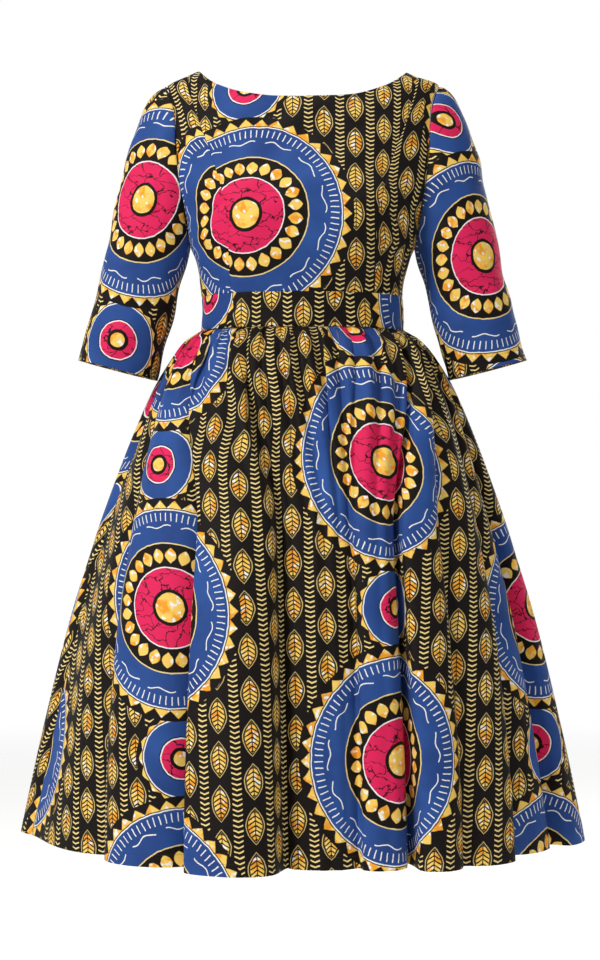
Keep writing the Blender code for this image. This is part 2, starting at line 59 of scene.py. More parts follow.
# The torso, a row for each section: height, half width, depth in front and depth behind
TORSO = {
    "height": (-430, -370, -322, -300, -284, -266, -250, -215, -180, -145, -103, -62, -20, 0),
    "half_width": (144, 144, 144, 145.5, 148.5, 153, 160, 172, 184, 195, 204, 201, 195, 149),
    "front": (101, 101, 102, 107, 113, 119, 123, 122, 115, 102, 86, 73, 55, 47),
    "back": (96, 96, 96, 97, 99, 101, 102, 104, 103, 98, 87, 71, 50, 41),
}
SQUARENESS = 0.035  # how far the sections swell between their front and their sides
SETTLES = 12  # rounds that it takes to find an angle on a section
BUST = {"reach": 11.0, "out": 88.0, "height": -222.0, "wide": 44.0, "tall": 52.0}

# The neck edge, from the centre out to the neck end of the shoulder seam
NECKLINE = {
    "out": (0, 40, 72, 96, 122, 139, 149),
    "front": (-46, -45, -41, -34.5, -24, -11, 0),
    "back": (-30, -29, -26, -21.5, -15, -7, 0),
}
NECK_FRONT = NECKLINE["front"][0]
NECK_BACK = NECKLINE["back"][0]
# The princess seam, from the waistband up to the shoulder seam
PRINCESS = {
    "height": (-322, -279, -234, -174, -122, -80, -39),
    "out": (101, 102, 103, 114, 130, 145, 157),
}
PRINCESS_TOP = -5.5  # where it meets the shoulder seam

# The armhole, an oval seen from the side. Its scoop is how much lower than halfway it is widest.
ARMHOLE = {"front": 50.0, "back": 53.0, "scoop": 0.16}

# The sleeve, in the plane of the shoulders
SLEEVE_TILT = math.radians(14.5)
SLEEVE_AXIS = (math.sin(SLEEVE_TILT), 0.0, -math.cos(SLEEVE_TILT))
CUFF_CENTRE = (264.5, -4.0, -425.5)
CUFF_WIDE = 58.0
CUFF_DEEP = 47.0
CUFF_GIRTH = 331.0
CUFF_HANDLE = 150.0
CAP_HANDLE = (59.0, 0.0, -10.0)  # how far and which way the sleeve head leaves the shoulder
CAP_EASE = 9.0  # fullness of the sleeve head towards the front and the back
UNDERARM_HANDLE = 50.0
SLEEVE_HOLLOW = 13.0  # how far the outer line bends in above the elbow
SLEEVE_FLARE = 0.34  # how fast the sleeve's girth grows up from the cuff
SLEEVE_END = 3 * CUFF_HANDLE  # how fast a sleeve runs down where it reaches its cuff

# The skirt's outline, a row for each section: height and half width
SKIRT = {
    "height": (-370, -375, -381, -393, -416, -439, -462, -508, -553, -599,
               -645, -691, -759, -828, -897, -965, -1034, -1087),
    "half_width": (143.5, 152, 162, 175, 191, 205, 217, 238, 257, 275,
                   292, 307, 329, 348, 365, 381, 396, 407),
}
DEPTH_SHARE = 0.70  # how fast the skirt grows deeper as it grows wider

# The rolls that the skirt hangs in, a row for each, from the centre back round by the wearer's right.
# Where the valley before it runs at the waist, at MIDWAY and at the hem, how deep that valley is and
# how far out the roll's crest comes at the hem, how many gathers run into it at the waist, and how
# far each of its sides leans over the valley beside it, as shares of the roll's width.
ROLLS = (
    # waist, midway, hem, valley, crest, gathers, lean at its start, lean at its end
    (-180, -180, -180, -22, 6, 3, 0.02, 0.16),
    (-152, -156, -158, -44, 2, 3, 0.06, 0.20),
    (-128, -132, -135, -38, 8, 3, 0.05, 0.14),
    (-106, -110, -111, -44, 3, 1, 0.10, 0.04),
    (-90, -88, -87, -22, -36, 1, 0.00, 0.02),
    (-76, -61, -46, -50, -7, 1, 0.04, 0.03),
    (-58, -28, -22, -36, 24, 3, 0.24, 0.10),
    (-29, -6, -3, -40, -26, 5, 0.04, 0.05),
    (15, 13, 11, -36, -12, 4, 0.16, 0.04),
    (55, 27, 22, -54, 12, 1, 0.22, 0.06),
    (64, 40, 32, -12, 2, 1, 0.04, 0.18),
    (73, 57, 46, -52, -26, 1, 0.02, 0.04),
    (82, 77, 68, -46, -4, 1, 0.16, 0.04),
    (90, 90, 89, -30, 4, 1, 0.04, 0.12),
    (104, 109, 111, -44, 6, 3, 0.18, 0.05),
    (127, 132, 134, -40, 0, 3, 0.15, 0.06),
    (152, 156, 157, -46, 8, 3, 0.20, 0.02),
)
COLUMNS = {"places": (0, 1, 2), "valley": 3, "crest": 4, "gathers": 5, "leans": (6, 7)}
MIDWAY = 0.4  # share of the skirt's length
RIGHT_SIDE_ROLL = 4
LEFT_SIDE_ROLL = 13
ROLL_FULLNESS = 0.55  # below 1, a roll has a broad crest and steep sides
VALLEY_ROUND = 0.07  # how round the bottom of a valley is, as a share of a roll
# How the folds change down the skirt: share of its length, share of the rolls' depth, gathers' depth
FOLDS = {
    "down": (0.0, 0.03, 0.09, 0.18, 0.30, 0.45, 0.63, 0.82, 1.0),
    "roll": (0.0, 0.08, 0.20, 0.36, 0.52, 0.68, 0.82, 0.92, 1.0),
    "gather": (4.5, 9.0, 10.5, 8.5, 4.4, 1.6, 0.4, 0.0, 0.0),
}
LEANING = ((0.0, 0.05, 0.2, 0.5, 1.0), (0.0, 0.1, 0.7, 1.0, 0.9))  # down the skirt, share of the lean
GATHER_FULLNESS = 0.65  # below 1, a gather has a broad crest
# By how much of its depth a gather is deeper or flatter, and the number that sets which ones are
GATHERS_DIFFER = {"by": 0.5, "number": 7}
GATHER_TAIL = {"deep": 2.2, "even": 0.45, "uneven": 1.2}  # the gathers' ends, down to the hem
# The small puckers between the gathers, and how far down they fade
PUCKERS = {"count": 3.0, "depth": 1.2, "shift": 5, "fades": 0.035}
# Gathers that lie over the cloth beside them: angle at the waist, angle where it ends, how far down
# that is, half its width, how far it lies over and how deep. With a depth above 0 the cloth before
# it lies over the cloth after it.
TUCKS = [
    # waist, end, reach, wide, over, deep
    (-79, -72, 0.17, 1.5, 3.8, 5.0),
    (-69, -60, 0.11, 1.3, 3.2, 4.0),
    (-58, -49, 0.20, 1.5, 4.0, -5.5),
    (-47, -40, 0.24, 1.5, 4.4, 6.0),
    (-38, -27, 0.12, 1.3, 3.0, -4.0),
    (-28, -12, 0.30, 1.7, 5.2, 7.0),
    (-22, -11, 0.10, 1.2, 2.8, 3.5),
    (-14, -10, 0.13, 1.2, 3.0, -4.0),
    (-6, -4, 0.19, 1.3, 3.4, 4.5),
    (2, 1, 0.09, 1.1, 2.8, -3.5),
    (10, 8, 0.32, 1.6, 5.0, -7.0),
    (18, 13, 0.12, 1.2, 3.0, 4.0),
    (25, 15, 0.22, 1.4, 4.0, -5.5),
    (33, 20, 0.10, 1.2, 2.8, 3.5),
    (41, 25, 0.17, 1.3, 3.4, -5.0),
    (50, 35, 0.27, 1.6, 4.8, 6.5),
    (59, 46, 0.18, 1.4, 3.8, -5.5),
    (68, 57, 0.12, 1.3, 3.2, 4.5),
    (77, 67, 0.22, 1.5, 4.2, 6.0),
    # the long soft ones, which hide no cloth
    (-84, -76, 0.36, 2.4, 1.4, 5.0),
    (-74, -60, 0.46, 2.6, 1.6, -6.0),
    (-63, -47, 0.40, 2.2, 1.5, 5.5),
    (-52, -38, 0.52, 2.6, 1.8, -6.5),
    (-42, -30, 0.34, 2.2, 1.2, 5.0),
    (-33, -20, 0.45, 2.4, 1.6, -5.0),
    (45, 32, 0.38, 2.2, 1.4, 5.0),
    (54, 41, 0.48, 2.4, 1.6, -5.5),
    (63, 52, 0.42, 2.4, 1.5, 5.5),
    (72, 63, 0.50, 2.6, 1.8, -6.0),
    (83, 75, 0.40, 2.4, 1.4, 5.0),
]
# The same behind the side seams: the first one's value, the step to the next, how much they
# differ, and the number that sets how they do
BACK_TUCKS = (
    (97, 6.7, 2.0, 3),  # waist
    (103, 6.2, 3.0, 5),  # end
    (0.19, 0, 0.09, 7),  # reach
    (1.4, 0, 0.2, 2),  # wide
    (3.8, 0, 0.9, 4),  # over
    (5.0, 0, 1.5, 6),  # deep
)
BACK_TUCK_COUNT = 12  # on each side
BACK_TUCK_WAY = 9  # the number that sets which way each of them lies
TUCK_SEWN = 0.3  # share of its depth that a gather has at the seam
TUCK_RISE = 0.035  # how far down it has its whole depth
TUCK_FADE = 1.3  # above 1, it fades soon and then slowly

ARMPIT_ROW = 0.22  # share of the side edge that lies under the armhole
PRINCESS_SHARE = 0.965  # share of the centre front's side edge that is princess seam
BACK_SIDE_SHARE = 0.88  # share of a back's side edge that lies below the shoulder seam

# The cloth itself, in millimetres
CLOTH_THICK = 0.55
# How an edge that is sewn turns in to its seam, and how one that is only folded rounds off
TURNS_IN = {"seam": {"deep": 0.8, "wide": 1.7}, "fold": {"deep": 0.3, "wide": 0.9}}
HEM_TURN = {"proud": 0.3, "wide": 18.0, "soft": 1.2}  # the turned-up cloth behind a free edge

# Where each panel lies on the printed cloth, in centimetres from the middle of a large round
LAYOUT = {
    "bodice_front_centre": (8.0, -11.0),
    "bodice_side_front_left": (24.9, -10.6),
    "bodice_side_front_right": (-8.3, -11.5),
    "bodice_back_left": (14.0, -12.0),
    "bodice_back_right": (-16.0, -20.0),
    "waistband_front": (15.3, 15.1),
    "waistband_back_left": (46.0, -4.0),
    "waistband_back_right": (-30.0, 33.0),
    "skirt_front": (-9.0, -54.0),
    "skirt_back_left": (16.0, -40.0),
    "skirt_back_right": (-4.0, -47.0),
    "sleeve_left": (6.0, -15.6),
    "sleeve_right": (-8.0, -24.0),
}

# Creases, by piece and face: from x and height, to x and height, how far it bows, how wide and how
# deep. A depth below 0 is a ridge.
CREASES = {
    ("bodice", "front"): (
        (-150, -232, -96, -196, 6, 7, 3.1),
        (-156, -214, -108, -170, 5, 8, 2.5),
        (-146, -252, -118, -262, -4, 6, 2.2),
        (-128, -300, -92, -286, 4, 6, 1.7),
        (150, -236, 100, -204, -6, 7, 3.1),
        (158, -210, 116, -160, -6, 8, 2.7),
        (148, -258, 122, -270, 4, 6, 2.1),
        (132, -306, 96, -296, -3, 6, 1.8),
        (-30, -298, 46, -306, 5, 9, 1.3),
        (-62, -86, -20, -66, 5, 10, 1.3),
        (30, -70, 78, -92, -5, 10, 1.4),
    ),
    ("bodice", "back"): (
        (-148, -230, -84, -206, 6, 9, 3.1),
        (-158, -196, -104, -150, 5, 9, 2.5),
        (150, -226, 88, -198, -6, 9, 3.2),
        (156, -190, 100, -148, -4, 9, 2.5),
        (-112, -296, -34, -306, 6, 8, 2.2),
        (30, -290, 116, -300, -6, 8, 2.4),
        (-90, -270, -20, -276, 5, 9, 1.7),
        (26, -264, 92, -272, -5, 9, 1.5),
    ),
    ("sleeve_right", "front"): (
        (-178, -238, -214, -206, -6, 8, 3.4),
        (-184, -262, -230, -250, -6, 8, 3.1),
        (-196, -300, -246, -284, -5, 8, 2.5),
        (-206, -330, -240, -338, 5, 7, 2.2),
        (-268, -262, -236, -318, 5, 11, -2.0),
        (-204, -150, -208, -220, 5, 10, 2.0),
    ),
    ("sleeve_left", "front"): (
        (178, -236, 216, -212, 6, 8, 3.2),
        (186, -266, 236, -256, 6, 8, 3.2),
        (198, -296, 252, -312, -5, 9, 2.7),
        (208, -336, 246, -330, 4, 7, 2.1),
        (270, -250, 244, -300, 5, 11, -1.8),
        (206, -140, 214, -206, -5, 10, 1.8),
    ),
    ("sleeve_right", "back"): (
        (-180, -242, -222, -216, -6, 8, 3.1),
        (-192, -282, -244, -270, 6, 8, 2.7),
        (-204, -322, -250, -332, 5, 8, 2.2),
    ),
    ("sleeve_left", "back"): (
        (180, -240, 224, -220, 6, 8, 3.1),
        (194, -278, 246, -286, -6, 8, 2.8),
        (206, -326, 250, -318, 5, 8, 2.1),
    ),
}
CREASE_ENDS = {"start": 0.15, "run": 0.7, "faint": 0.25}  # how a crease fades towards its ends
FACE_BLEND = 12  # how far round to the other face a crease fades out

WAVES = (
    # along x, along y, along height (mm per wave), shift, how far
    (170, 260, 95, 0.3, 0.8),
    (-120, 150, 140, 1.9, 0.6),
    (90, -110, -75, 4.4, 0.45),
    (-64, 95, 58, 2.6, 0.3),
)

# How many steps each panel's mesh has across and up, and how close they come to its edges
STEPS = {"centre": (110, 130), "side": (56, 130), "back": (90, 130), "sleeve": (128, 110)}
WAISTBAND_STEPS = (80, 20)  # for a quarter turn
SKIRT_STEPS = 200  # across a back panel; the front has twice as many
SKIRT_ROWS = {"count": 96, "power": 1.5, "first": (0.001, 0.0025)}
FINE_STEPS = 40  # to a roll, when the skirt's steps are laid out
MEASURED_AT = (0.12, 1.0)  # how far down the skirt its turns are measured for that
NEAR = (0.004, 0.010, 0.02, 0.035)
NEAR_ON_BAND = (0.015, 0.03)
NEAR_ON_SKIRT = (0.002, 0.005, 0.01)
HEM_ROWS = (1.0, 2.5, 6.0, 14.0, 15.5, 16.5, 17.5, 18.5, 19.5, 21.0)  # millimetres up from a hem

STITCH = {"pitch": 2.7, "size": (2.2, 0.42, 0.34), "ahead": 0.4}
HEM_ROW = 16.0  # how far up from a hem its row of stitches runs
SEAM_ROW = 0.15  # how far in from its panel's edge a seam's thread runs
GROOVE = 0.25  # how deep the thread of a seam lies below the edges that it joins
SMALL_SIDES = 6  # sides of a stitch and of a tooth of the zip

ZIP = {"top": -38.0, "foot": -520.0, "pitch": 1.2, "tooth": (4.6, 0.86, 1.3), "tooth_deep": 2.35,
       "tooth_taper": 0.14, "tape": 12.0, "tape_gap": 0.2, "tape_deep": 1.15, "tape_thick": 0.35,
       "tape_steps": 9, "tape_rows": 4, "from_edge": 1.5}

# The rim on the pull's faces, and how much of the pull counts as its pin's end and as its free end
RIM = {"wide": 5.5, "long": 13.2, "face": 0.5, "band": 0.75, "proud": 0.28, "corner": 0.9,
       "soft": 0.1, "from_end": 0.6, "pin_end": 3.0, "free_end": 1.2}

# The studio: its floor, whose paint fades out far from the dress, its camera and its lamps
FLOOR = {"sides": 96, "radius": 9.0, "height": -1.5, "fades": 3.0, "glow": 0.35}
CAMERA = {"place": (-0.0036, -2.7, -0.582), "lens": 70.8, "film": 36}
ROOM_LIGHT = 0.22  # what the white room gives, beside its lamps
LAMPS = (
    # name, place, what it points at, size, power
    ("key", (-2.4, -2.2, 1.2), (0, 0, -0.5), 0.9, 92),
    ("fill", (2.6, -2.2, 0.2), (0, 0, -0.6), 1.8, 13),
    ("top", (0.0, -0.3, 1.9), (0, 0, -0.4), 1.4, 25),
    ("back_left", (2.0, 2.4, 0.9), (0, 0, -0.55), 1.3, 40),
    ("back_right", (-2.4, 2.0, 0.2), (0, 0, -0.6), 1.8, 12),
)


def smooth_between(at, places, values):
    """The value at a place, on a smooth curve through a table's rows that never overshoots them."""
    x = np.asarray(places, float)
    y = np.asarray(values, float)
    step = np.diff(x)
    rise = np.diff(y) / step
    slope = np.empty_like(x)
    slope[0], slope[-1] = rise[0], rise[-1]
    before, after = rise[:-1], rise[1:]
    same_way = before * after > 0
    w_before = 2 * step[1:] + step[:-1]
    w_after = step[1:] + 2 * step[:-1]
    safe_before = np.where(same_way, before, 1.0)
    safe_after = np.where(same_way, after, 1.0)
    inner = (w_before + w_after) / (w_before / safe_before + w_after / safe_after)
    slope[1:-1] = np.where(same_way, inner, 0.0)
    at = np.clip(at, x[0], x[-1])
    i = np.clip(np.searchsorted(x, at) - 1, 0, len(step) - 1)
    h = step[i]
    t = (at - x[i]) / h
    rest = 1 - t
    return (
        y[i] * (1 + 2 * t) * rest**2
        + slope[i] * h * t * rest**2
        + y[i + 1] * t**2 * (3 - 2 * t)
        - slope[i + 1] * h * t**2 * rest
    )


def width_at(height):
    """Half the torso's width at this height."""
    return smooth_between(height, TORSO["height"], TORSO["half_width"])


def depth_at(height, behind):
    """The torso's depth at this height, in front or behind."""
    front = smooth_between(height, TORSO["height"], TORSO["front"])
    back = smooth_between(height, TORSO["height"], TORSO["back"])
    return np.where(behind, back, front)


def swell_at(turn):
    """How much larger than an oval a section of the torso is."""
    return 1 + SQUARENESS * np.sin(2 * turn) ** 2


def torso_at(angle, height):
    """Points of the bodice's outer face, in metres. The angle runs from the centre front, 0, by the
    wearer's left, 90, to the centre back, 180."""
    angle, height = np.broadcast_arrays(angle, height)
    behind = np.abs(angle) > 90
    turn = np.radians(angle)
    x = width_at(height) * np.sin(turn) * swell_at(turn)
    y = -depth_at(height, behind) * np.cos(turn) * swell_at(turn)
    across = (np.abs(x) - BUST["out"]) / BUST["wide"]
    up = (height - BUST["height"]) / BUST["tall"]
    bust = BUST["reach"] * np.exp(-(across**2) - up**2) * np.cos(turn)
    y = y - np.where(behind, 0, bust)
    return np.stack((x, y, height), axis=-1) * MM


def angle_where(inverse, first, reach, size):
    """The angle at which a section of this size reaches this far, found from a first guess."""
    angle = np.full_like(size, first)
    for _ in range(SETTLES):
        angle = inverse(np.minimum(1.0, reach / (size * swell_at(angle))))
    return np.degrees(angle)


def angle_at_width(out, height, behind=False):
    """The angle at which the bodice is this far out at this height."""
    angle = angle_where(np.arcsin, 0, out, width_at(height))
    return 180 - angle if behind else angle


def angle_at_depth(depth, height, behind):
    """The angle at which the bodice is this far in front of, or behind, the shoulders' plane."""
    angle = angle_where(np.arccos, math.pi / 2, depth, depth_at(height, behind))
    return np.where(behind, 180 - angle, angle)


def armhole_at(turn):
    """Angle and height of the bodice at points of the armhole: turn 0 at the shoulder, 90 in
    front, 180 under the arm and 270 behind."""
    t = np.radians(turn)
    height = (SHOULDER_POINT + ARMPIT) / 2 + (SHOULDER_POINT - ARMPIT) / 2 * np.cos(t)
    behind = np.sin(t) < -1e-9
    reach = np.where(behind, ARMHOLE["back"], ARMHOLE["front"])
    depth = reach * np.abs(np.sin(t)) * (1 - ARMHOLE["scoop"] * np.cos(t))
    return angle_at_depth(depth, height, behind), height


def neckline_at(share, side):
    """How far out and how high the neck edge is, from its centre, 0, to the shoulder seam, 1."""
    out = NECKLINE["out"][-1] * np.sin(share * math.pi / 2)
    return out, smooth_between(out, NECKLINE["out"], NECKLINE[side])


def princess_at(share):
    """How far out and how high the princess seam is, from the waistband, 0, to the shoulder, 1."""
    height = BODICE_FOOT + share * (PRINCESS_TOP - BODICE_FOOT)
    heights = (*PRINCESS["height"], PRINCESS_TOP)
    return smooth_between(height, heights, (*PRINCESS["out"], width_at(PRINCESS_TOP))), height


def side_and_armhole_at(share, behind=False):
    """Angle and height up the side seam and then round the armhole to the shoulder."""
    turn = 180 * (1 - np.clip((share - ARMPIT_ROW) / (1 - ARMPIT_ROW), 0, 1))
    angle, height = armhole_at(360 - turn if behind else turn)
    under = share <= ARMPIT_ROW
    below = BODICE_FOOT + (ARMPIT - BODICE_FOOT) * share / ARMPIT_ROW
    return np.where(under, 90.0, angle), np.where(under, below, height)


def patch(start, end, foot, top, across, up):
    """Places inside four edges, blended from all of them. An edge gives two values at a share."""
    zero, one = np.zeros(1), np.ones(1)
    places = []
    for value in (0, 1):
        a, b = start(up)[value], end(up)[value]
        c, d = foot(across)[value], top(across)[value]
        corners = (
            (1 - across) * (1 - up) * start(zero)[value]
            + across * (1 - up) * end(zero)[value]
            + (1 - across) * up * start(one)[value]
            + across * up * end(one)[value]
        )
        places.append((1 - across) * a + across * b + (1 - up) * c + up * d - corners)
    return places


def held_at(value, share):
    """The same value at every share."""
    return np.zeros_like(share) + value


def princess_and_shoulder_at(share):
    """How far out and how high, up the princess seam and then in along the shoulder to the neck."""
    out, height = princess_at(np.minimum(share / PRINCESS_SHARE, 1))
    above = PRINCESS_TOP * (1 - share) / (1 - PRINCESS_SHARE)
    past = share > PRINCESS_SHARE
    return np.where(past, width_at(above), out), np.where(past, above, height)


def centre_front_at(across, up):
    """Points of the centre front panel: across from -1 to 1, up from 0 to 1."""
    foot = princess_at(0.0)[0]
    out, height = patch(
        lambda share: (held_at(0, share), BODICE_FOOT + (NECK_FRONT - BODICE_FOOT) * share),
        princess_and_shoulder_at,
        lambda share: (foot * share, held_at(BODICE_FOOT, share)),
        lambda share: neckline_at(share, "front"),
        np.abs(across),
        up,
    )
    return torso_at(np.copysign(angle_at_width(out, height), across), height)


def side_front_at(side, across, up):
    """Points of a side front panel, from the princess seam, 0, to the side, 1."""
    first = PRINCESS_TOP / SHOULDER_POINT

    def princess(share):
        out, height = princess_at(share)
        return angle_at_width(out, height), height

    start = float(princess(0.0)[0])
    angle, height = patch(
        princess,
        side_and_armhole_at,
        lambda share: (start + (90 - start) * share, held_at(BODICE_FOOT, share)),
        lambda share: (held_at(90, share), (first + (1 - first) * share) * SHOULDER_POINT),
        across,
        up,
    )
    return torso_at(side * angle, height)


def side_and_shoulder_at(share):
    """Angle and height up the side seam, round the back of the armhole and along the shoulder."""
    angle, height = side_and_armhole_at(np.minimum(share / BACK_SIDE_SHARE, 1), behind=True)
    past = share > BACK_SIDE_SHARE
    above = (1 - share) / (1 - BACK_SIDE_SHARE) * SHOULDER_POINT
    return np.where(past, 90.0, angle), np.where(past, above, height)


def back_at(side, across, up):
    """Points of a back panel, from the side, 0, to the centre back, 1."""

    def neckline(share):
        out, height = neckline_at(1 - share, "back")
        return angle_at_width(out, height, behind=True), height

    angle, height = patch(
        side_and_shoulder_at,
        lambda share: (held_at(180, share), BODICE_FOOT + (NECK_BACK - BODICE_FOOT) * share),
        lambda share: (90 + 90 * share, held_at(BODICE_FOOT, share)),
        neckline,
        across,
        up,
    )
    return torso_at(side * angle, height)


def waistband_at(angle, up):
    """Points of the waistband, up from 0 to 1."""
    return torso_at(angle, WAIST + (BODICE_FOOT - WAIST) * up)


def sleeve_at(side, turn, down):
    """Points of a sleeve: turn 0 on the outside, 90 in front and 180 under the arm."""
    t = np.radians(turn)[..., None]
    start = torso_at(*armhole_at(turn)) / MM
    axis = np.array(SLEEVE_AXIS)
    outward = np.array((math.cos(SLEEVE_TILT), 0, math.sin(SLEEVE_TILT)))
    forward = np.array((0.0, -1.0, 0.0))
    end = np.array(CUFF_CENTRE) + outward * CUFF_WIDE * np.cos(t) + forward * CUFF_DEEP * np.sin(t)
    top = (1 + np.cos(t)) / 2
    leave = top * np.array(CAP_HANDLE) + (1 - top) * axis * UNDERARM_HANDLE
    leave = leave + forward * CAP_EASE * np.sin(t)
    arrive = axis * CUFF_HANDLE + np.array((SLEEVE_HOLLOW, 0, 0)) * top
    a, b, c, d = start, start + leave, end - arrive, end
    down = down[..., None]
    u = 1 - down
    point = u**3 * a + 3 * u**2 * down * b + 3 * u * down**2 * c + down**3 * d
    return point * np.array((side, 1, 1)) * MM


def roll_values(column, rolls):
    """A column of the table of rolls; past the last roll it starts again, a whole turn further on."""
    values = np.array([row[column] for row in ROLLS], float)[rolls % len(ROLLS)]
    return values + 360 * (rolls // len(ROLLS)) if column in COLUMNS["places"] else values


def valley_turns(rolls, down):
    """The angle of each valley at each height, a row for each height."""
    tracks = {}
    for roll in sorted(set(rolls.ravel())):
        angles = [roll_values(column, np.array(roll)) for column in COLUMNS["places"]]
        tracks[roll] = smooth_between(down, (0, MIDWAY, 1), angles)
    return np.stack([tracks[roll] for roll in rolls], axis=1)


def uneven_by(number, most):
    """A value from -most to most that jumps about from one whole number to the next."""
    mixed = np.sin(number * 12.9898 + 4.1) * 43758.5453
    return (mixed - np.floor(mixed) - 0.5) * 2 * most


def back_tucks():
    """Gathers like those of the table, uneven in the same way, round the back of the waist."""
    tucks = []
    for _, side in SIDES:
        for i in range(BACK_TUCK_COUNT):
            waist, end, reach, wide, over, deep = (
                first + step * i + uneven_by(i * number + side, differ)
                for first, step, differ, number in BACK_TUCKS
            )
            way = uneven_by(i * BACK_TUCK_WAY + side, 1.0)
            tucks.append((side * waist, side * end, reach, wide, over, np.copysign(deep, way)))
    return tucks


def tucked(degrees, down):
    """How far each gather moves the cloth round, in degrees, and out, in millimetres."""
    round_by, out_by = 0, 0
    rise = TUCK_SEWN + (1 - TUCK_SEWN) * np.sin(math.pi / 2 * np.minimum(down / TUCK_RISE, 1))
    for waist, end, reach, wide, over, deep in TUCKS + back_tucks():
        share = np.minimum(down / reach, 1)
        from_it = (degrees - waist - (end - waist) * share) / wide
        pull = from_it * np.exp(-(from_it**2)) * (1 - share) ** TUCK_FADE
        round_by = round_by - over * pull
        out_by = out_by - deep * pull * rise
    return round_by, out_by


def round_lobe(share):
    """A roll's shape from valley to valley, 0 to 1, like a power of a sine but round in the valleys."""
    soft = VALLEY_ROUND**ROLL_FULLNESS
    full = (np.sin(math.pi * share) ** 2 + VALLEY_ROUND**2) ** (ROLL_FULLNESS / 2)
    return (full - soft) / ((1 + VALLEY_ROUND**2) ** (ROLL_FULLNESS / 2) - soft)


def folded(rolls, share, down):
    """How far the rolls, the gathers and the puckers move the skirt's cloth out, in millimetres."""
    roll_share = smooth_between(down, FOLDS["down"], FOLDS["roll"])
    gather_depth = smooth_between(down, FOLDS["down"], FOLDS["gather"])
    valley, crest, gathers = (
        roll_values(COLUMNS[name], rolls) for name in ("valley", "crest", "gathers"))
    floor = valley + (roll_values(COLUMNS["valley"], rolls + 1) - valley) * share
    fold = (floor + (crest - floor) * round_lobe(share)) * roll_share
    count = gathers * share
    swell = np.sin(math.pi * count) ** 2
    number = rolls * GATHERS_DIFFER["number"] + np.floor(count)
    uneven = uneven_by(number, GATHERS_DIFFER["by"])
    fold = fold + gather_depth * (swell**GATHER_FULLNESS - 0.5) * (1 + uneven * swell)
    tail = GATHER_TAIL["even"] + GATHER_TAIL["uneven"] * uneven
    fold = fold + GATHER_TAIL["deep"] * down * swell * tail * (gathers > 1)
    pucker = np.sin(FULL_TURN * PUCKERS["count"] * count + PUCKERS["shift"] * uneven)
    return fold + PUCKERS["depth"] * pucker * np.exp(-down / PUCKERS["fades"])


def skirt_grid(places, down):
    """A grid of points of the skirt. Places are counted in rolls from the centre back, and down runs
    from 0 at the waistband to 1 at the hem."""
    rolls = np.floor(places).astype(int)
    share = places - rolls
    first, last = valley_turns(rolls, down), valley_turns(rolls + 1, down)
    down = down[:, None]
    at_start, at_end = (roll_values(column, rolls) for column in COLUMNS["leans"])
    lean = np.where(share < 0.5, -at_start, at_end)
    lean = lean * np.sin(FULL_TURN * share) ** 2 * smooth_between(down, *LEANING)
    turn = first + (last - first) * (share + lean)
    round_by, out_by = tucked(turn, down)
    turn = np.radians(turn + round_by)

    height = WAIST + (HEM - WAIST) * down + 0 * turn
    wide = smooth_between(-height, [-h for h in SKIRT["height"]], SKIRT["half_width"])
    grown = DEPTH_SHARE * (wide - SKIRT["half_width"][0])
    deep = depth_at(WAIST, np.cos(turn) <= 0) + grown
    out = np.stack((np.sin(turn) / wide, -np.cos(turn) / deep), axis=-1)
    out = out / np.linalg.norm(out, axis=-1, keepdims=True)
    fold = folded(rolls, share, down) + out_by
    x = wide * np.sin(turn) + out[..., 0] * fold
    y = -deep * np.cos(turn) + out[..., 1] * fold
    return np.stack((x, y, height), axis=-1) * MM


def spread(first, last, steps, close=()):
    """Places from first to last, evenly, and some more at these shares from each end."""
    shares = set(np.linspace(0, 1, steps + 1).tolist())
    for near in close:
        shares |= {near, 1 - near}
    return first + (last - first) * np.array(sorted(shares))


def skirt_places(first, last, steps):
    """Places along the skirt, as close together as its turns of the waist need."""
    fine = np.linspace(first, last, FINE_STEPS * (last - first) + 1)
    run = run_along(skirt_grid(fine, np.array(MEASURED_AT)), 1, 0)
    run = run[0] / run[0, -1] * 0.5 + run[1] / run[1, -1] * 0.5
    return np.interp(spread(0, 1, steps, NEAR_ON_SKIRT), run, fine)


def outward_of(points, side, tube=False):
    """The outward direction at each point of a grid."""
    if tube:
        wrapped = np.concatenate((points[:, -2:-1], points, points[:, 1:2]), axis=1)
        along = np.gradient(wrapped, axis=1)[:, 1:-1]
    else:
        along = np.gradient(points, axis=1)
    normal = side * np.cross(along, np.gradient(points, axis=0))
    return normal / np.maximum(np.linalg.norm(normal, axis=2, keepdims=True), 1e-12)


def run_along(points, axis, start):
    """How far each point is along its row or column, from the one that start gives."""
    step = np.linalg.norm(np.diff(points, axis=axis), axis=2)
    first = np.zeros_like(np.take(step, [0], axis=axis))
    run = np.concatenate((first, np.cumsum(step, axis=axis)), axis=axis)
    return run - np.take(run, [start], axis=axis)


def crease_depth(piece, points):
    """How far in each point of a piece lies for the creases that cross it."""
    x, y, height = np.moveaxis(points / MM, -1, 0)
    depth = np.zeros_like(x)
    for (name, face), creases in CREASES.items():
        if not piece.startswith(name):
            continue
        facing = np.clip((-y if face == "front" else y) / FACE_BLEND + 0.5, 0, 1)
        for x1, z1, x2, z2, bow, wide, deep in creases:
            long = math.hypot(x2 - x1, z2 - z1)
            way = np.array((x2 - x1, z2 - z1)) / long
            along = ((x - x1) * way[0] + (height - z1) * way[1]) / long
            aside = (x - x1) * -way[1] + (height - z1) * way[0]
            inside = np.clip(along, 0, 1)
            aside = aside - bow * 4 * inside * (1 - inside)
            past = (along - inside) * long
            shape = np.exp(-((aside / wide) ** 2) - (past / wide) ** 2)
            middle = np.sin(math.pi * (CREASE_ENDS["start"] + CREASE_ENDS["run"] * inside))
            fade = CREASE_ENDS["faint"] + (1 - CREASE_ENDS["faint"]) * middle
            depth += deep * shape * fade * facing
    return depth


